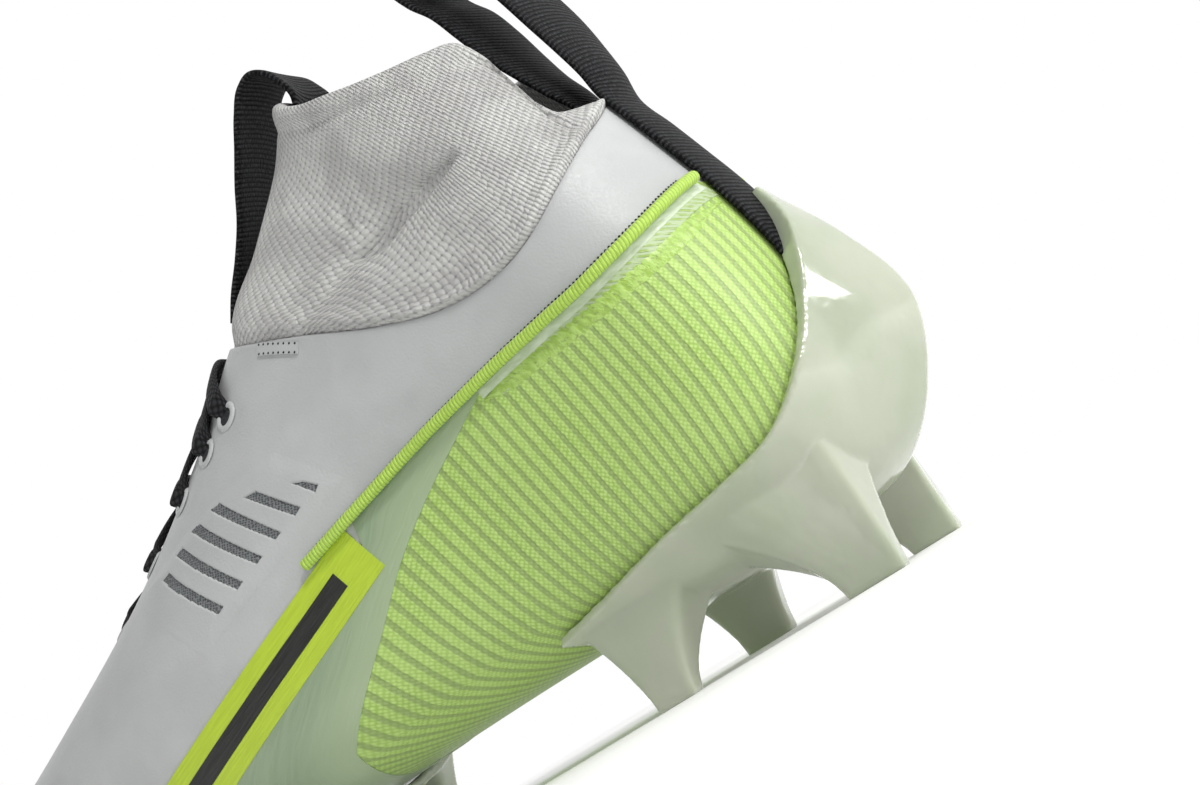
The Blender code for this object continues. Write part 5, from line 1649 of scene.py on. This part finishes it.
class CLEAT_OT_lace(bpy.types.Operator):
    """Build the flat lace, its eyelets and the painted shade in their holes"""

    bl_idname = "cleat.lace"
    bl_label = "Lace and eyelets"

    def execute(self, context):
        runs = [((0, -1), (0, 1), 0.0, 0.0)]
        for pair in range(EYELET_PAIRS - 1):
            runs.append(((pair, -1), (pair + 1, 1), 0.05, 0.0))
            runs.append(((pair, 1), (pair + 1, -1), 0.35, 1.3))
        drawn = [lace_run(*run) for run in runs]
        verts, faces = joined([tube(rings) for rings, _ in drawn])
        uv = np.concatenate([places for _, places in drawn])
        lace = new_piece("lace_braid", verts, faces, [finish_of(braided_lace)], uv)
        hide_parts("lace")

        rings, hole_shade = [], []
        turn = np.linspace(0, 2 * math.pi, EYELET_SIDES, endpoint=False)
        for pair in range(EYELET_PAIRS):
            for side in (-1, 1):
                at, arc = eyelet_place(pair, side)
                place = instep_place(arc, at)
                centre, out = surface(at, place), normals_at(at, place)
                first_way = unit(np.cross(out, (0, 0, 1.0)))
                second_way = np.cross(out, first_way)
                flat = np.cos(turn)[:, None] * first_way + np.sin(turn)[:, None] * second_way
                profile = [centre + flat * radius + out * height for radius, height in EYELET_PROFILE]
                rings.append(tube(np.array(profile), cap=False))
                # Each eyelet's hole is a dark disc of painted shade
                hole_shade.append((centre + flat * EYELET_HOLE + out * 0.1, [list(range(EYELET_SIDES))]))
        eyelets = new_piece("eyelet_rings", *joined(rings), [finish_of(film_over_cloth)], sharp=60)
        dark = new_piece("eyelet_hole_shade", *joined(hole_shade), [finish_of(painted_shade_and_thread)])
        return {"FINISHED"}


# Stage

CAMERA_TURN = 21.6
CAMERA_HEIGHT = 6.0
CAMERA_ROLL = 31.7
CAMERA_DISTANCE = 350.0
CAMERA_TARGET = (80.5, 0.0, 61.8)
VIEW_WIDTH = 247.4
SENSOR_WIDTH = 36.0
# Metres from here on: half the floor's side, where the lights aim, and the lights themselves
# name, place, size, watts, colour
FLOOR_REACH = 4.0
LIGHT_AIM = (0.06, 0.0, 0.07)
LIGHTS = (
    ("key above the heel", (0.72, -0.36, 0.74), 0.2, 5.0, (1.0, 0.99, 0.97)),
    ("light beside the heel", (0.62, -0.1, 0.22), 0.12, 0.8, (1.0, 1.0, 1.0)),
    ("fill from the toe", (-0.75, -0.45, 0.4), 0.3, 0.3, (0.97, 0.98, 1.0)),
)
# The way from the camera into the picture, where the sky is white
SKY_WHITE_WAY = (0.35, 0.93, 0.0)


def add_object(name, data):
    """An object of the stage, in the scene."""
    item = bpy.data.objects.new(name, data)
    bpy.context.scene.collection.objects.link(item)
    return item


def area_light(name, place, size, power, colour):
    """A soft square light aimed at the heel."""
    data = bpy.data.lights.new(name, "AREA")
    data.size = size
    data.energy = power
    data.color = colour
    light = add_object(name, data)
    light.location = place
    light.rotation_euler = (Vector(LIGHT_AIM) - Vector(place)).to_track_quat("-Z", "Y").to_euler()


def studio_floor():
    """Matt white painted floor: barely mottled, with painted light that glows more the further it is from
    the shoe.
    """
    mesh = bpy.data.meshes.new("floor")
    corners = [(x * FLOOR_REACH, y * FLOOR_REACH, 0) for x, y in ((-1, -1), (1, -1), (1, 1), (-1, 1))]
    mesh.from_pydata(corners, [], [(0, 1, 2, 3)])
    plain = {"Roughness": 0.9, "Emission Color": opaque("#FFFFFF")}
    material, tree = new_material("matt white studio floor", plain)
    # The glow is painted light that stands for the lit white sweep that a studio floor runs into
    place = add_node(tree, "TexCoord", output="Object")
    away = add_node(tree, "VectorMath", {"operation": "LENGTH"}, {0: place}, 1)
    glow = {"Value": away, "From Min": 0.1, "From Max": 0.6, "To Min": 0.1, "To Max": 0.6}
    speck = {0: patches(tree, 25), 6: opaque("#F0F0F0"), 7: opaque("#F4F4F4")}
    tint = add_node(tree, "Mix", BLEND, speck, 2)
    shade(tree, Base_Color=tint, Emission_Strength=add_node(tree, "MapRange", EASED, glow))
    mesh.materials.append(material)
    add_object("floor", mesh)


def studio_sky():
    """A world that is white behind the shoe, dim behind the camera and pale round the horizon."""
    world = bpy.data.worlds.new("white studio")
    world.use_nodes = True
    tree = world.node_tree
    way = add_node(tree, "TexCoord", output="Generated")
    behind = add_node(tree, "VectorMath", {"operation": "DOT_PRODUCT"}, {0: way, 1: SKY_WHITE_WAY}, 1)
    inputs = {"Value": behind, "From Min": -0.6, "From Max": 0.42, "To Min": 0.1, "To Max": 1.0}
    sweep = add_node(tree, "MapRange", EASED, inputs)
    rise = add_node(tree, "SeparateXYZ", None, {0: way}, "Z")
    inputs = {"Value": rise, "From Min": 0.62, "From Max": 0.3, "To Min": 0.0, "To Max": 0.64}
    band = add_node(tree, "MapRange", EASED, inputs)
    glow = add_node(tree, "Math", {"operation": "MAXIMUM"}, {0: sweep, 1: band})
    tree.links.new(glow, tree.nodes["Background"].inputs["Strength"])
    tree.nodes["Background"].inputs["Color"].default_value = opaque("#FFFFFF")
    bpy.context.scene.world = world


def aimed_camera():
    """The camera, turned round the shoe, just above the floor and rolled."""
    turn, roll = math.radians(CAMERA_TURN), math.radians(CAMERA_ROLL)
    target = Vector(CAMERA_TARGET)
    rise = math.asin((CAMERA_HEIGHT - target.z) / CAMERA_DISTANCE)
    back = Vector((math.sin(turn) * math.cos(rise), -math.cos(turn) * math.cos(rise), math.sin(rise)))
    right = Vector((math.cos(turn), math.sin(turn), 0.0))
    up = back.cross(right)
    across = right * math.cos(roll) - up * math.sin(roll)
    upward = right * math.sin(roll) + up * math.cos(roll)
    data = bpy.data.cameras.new("camera")
    data.sensor_width = SENSOR_WIDTH
    data.lens = SENSOR_WIDTH * CAMERA_DISTANCE / VIEW_WIDTH
    data.clip_start = 0.01
    camera = add_object("camera", data)
    axes = Matrix((across, upward, back)).transposed().to_4x4()
    camera.matrix_world = Matrix.Translation((target + back * CAMERA_DISTANCE) * MM) @ axes
    bpy.context.scene.camera = camera


class CLEAT_OT_stage(bpy.types.Operator):
    """Set the floor, the soft studio lights, the sky and the camera"""

    bl_idname = "cleat.stage"
    bl_label = "Stage"

    def execute(self, context):
        studio_floor()
        studio_sky()
        for light in LIGHTS:
            area_light(*light)
        aimed_camera()
        context.scene.view_settings.view_transform = "Standard"
        return {"FINISHED"}


OPERATORS = (
    CLEAT_OT_upper,
    CLEAT_OT_rib_cloth,
    CLEAT_OT_sage_panels,
    CLEAT_OT_side_band,
    CLEAT_OT_seam_strips,
    CLEAT_OT_tabs,
    CLEAT_OT_vents,
    CLEAT_OT_collar,
    CLEAT_OT_piping,
    CLEAT_OT_loops,
    CLEAT_OT_plates,
    CLEAT_OT_insole,
    CLEAT_OT_lace,
    CLEAT_OT_stage,
)


class CLEAT_PT_panel(bpy.types.Panel):
    """The cleat's settings and pieces"""

    bl_label = "Football Cleat"
    bl_idname = "CLEAT_PT_panel"
    bl_space_type = "VIEW_3D"
    bl_region_type = "UI"
    bl_category = "Cleat"

    def draw(self, context):
        layout = self.layout
        for group in (context.scene.cleat_sizes, context.scene.cleat_colours):
            column = layout.column()
            for name in group.__annotations__:
                column.prop(group, name)
        column = layout.column()
        for operator in OPERATORS:
            column.operator(operator.bl_idname)


CLASSES = (CleatSizes, CleatColours, *OPERATORS, CLEAT_PT_panel)


def register():
    """Registers the classes and the scene's settings."""
    for item in CLASSES:
        bpy.utils.register_class(item)
    bpy.types.Scene.cleat_sizes = PointerProperty(type=CleatSizes)
    bpy.types.Scene.cleat_colours = PointerProperty(type=CleatColours)


def unregister():
    """Removes the settings and the classes."""
    del bpy.types.Scene.cleat_colours
    del bpy.types.Scene.cleat_sizes
    for item in reversed(CLASSES):
        bpy.utils.unregister_class(item)


def main():
    """Builds every piece and the stage."""
    register()
    bpy.ops.cleat.upper()
    bpy.ops.cleat.rib_cloth()
    bpy.ops.cleat.sage_panels()
    bpy.ops.cleat.side_band()
    bpy.ops.cleat.seam_strips()
    bpy.ops.cleat.tabs()
    bpy.ops.cleat.vents()
    bpy.ops.cleat.collar()
    bpy.ops.cleat.piping()
    bpy.ops.cleat.loops()
    bpy.ops.cleat.plates()
    bpy.ops.cleat.insole()
    bpy.ops.cleat.lace()
    bpy.ops.cleat.stage()


if __name__ == "__main__":
    main()
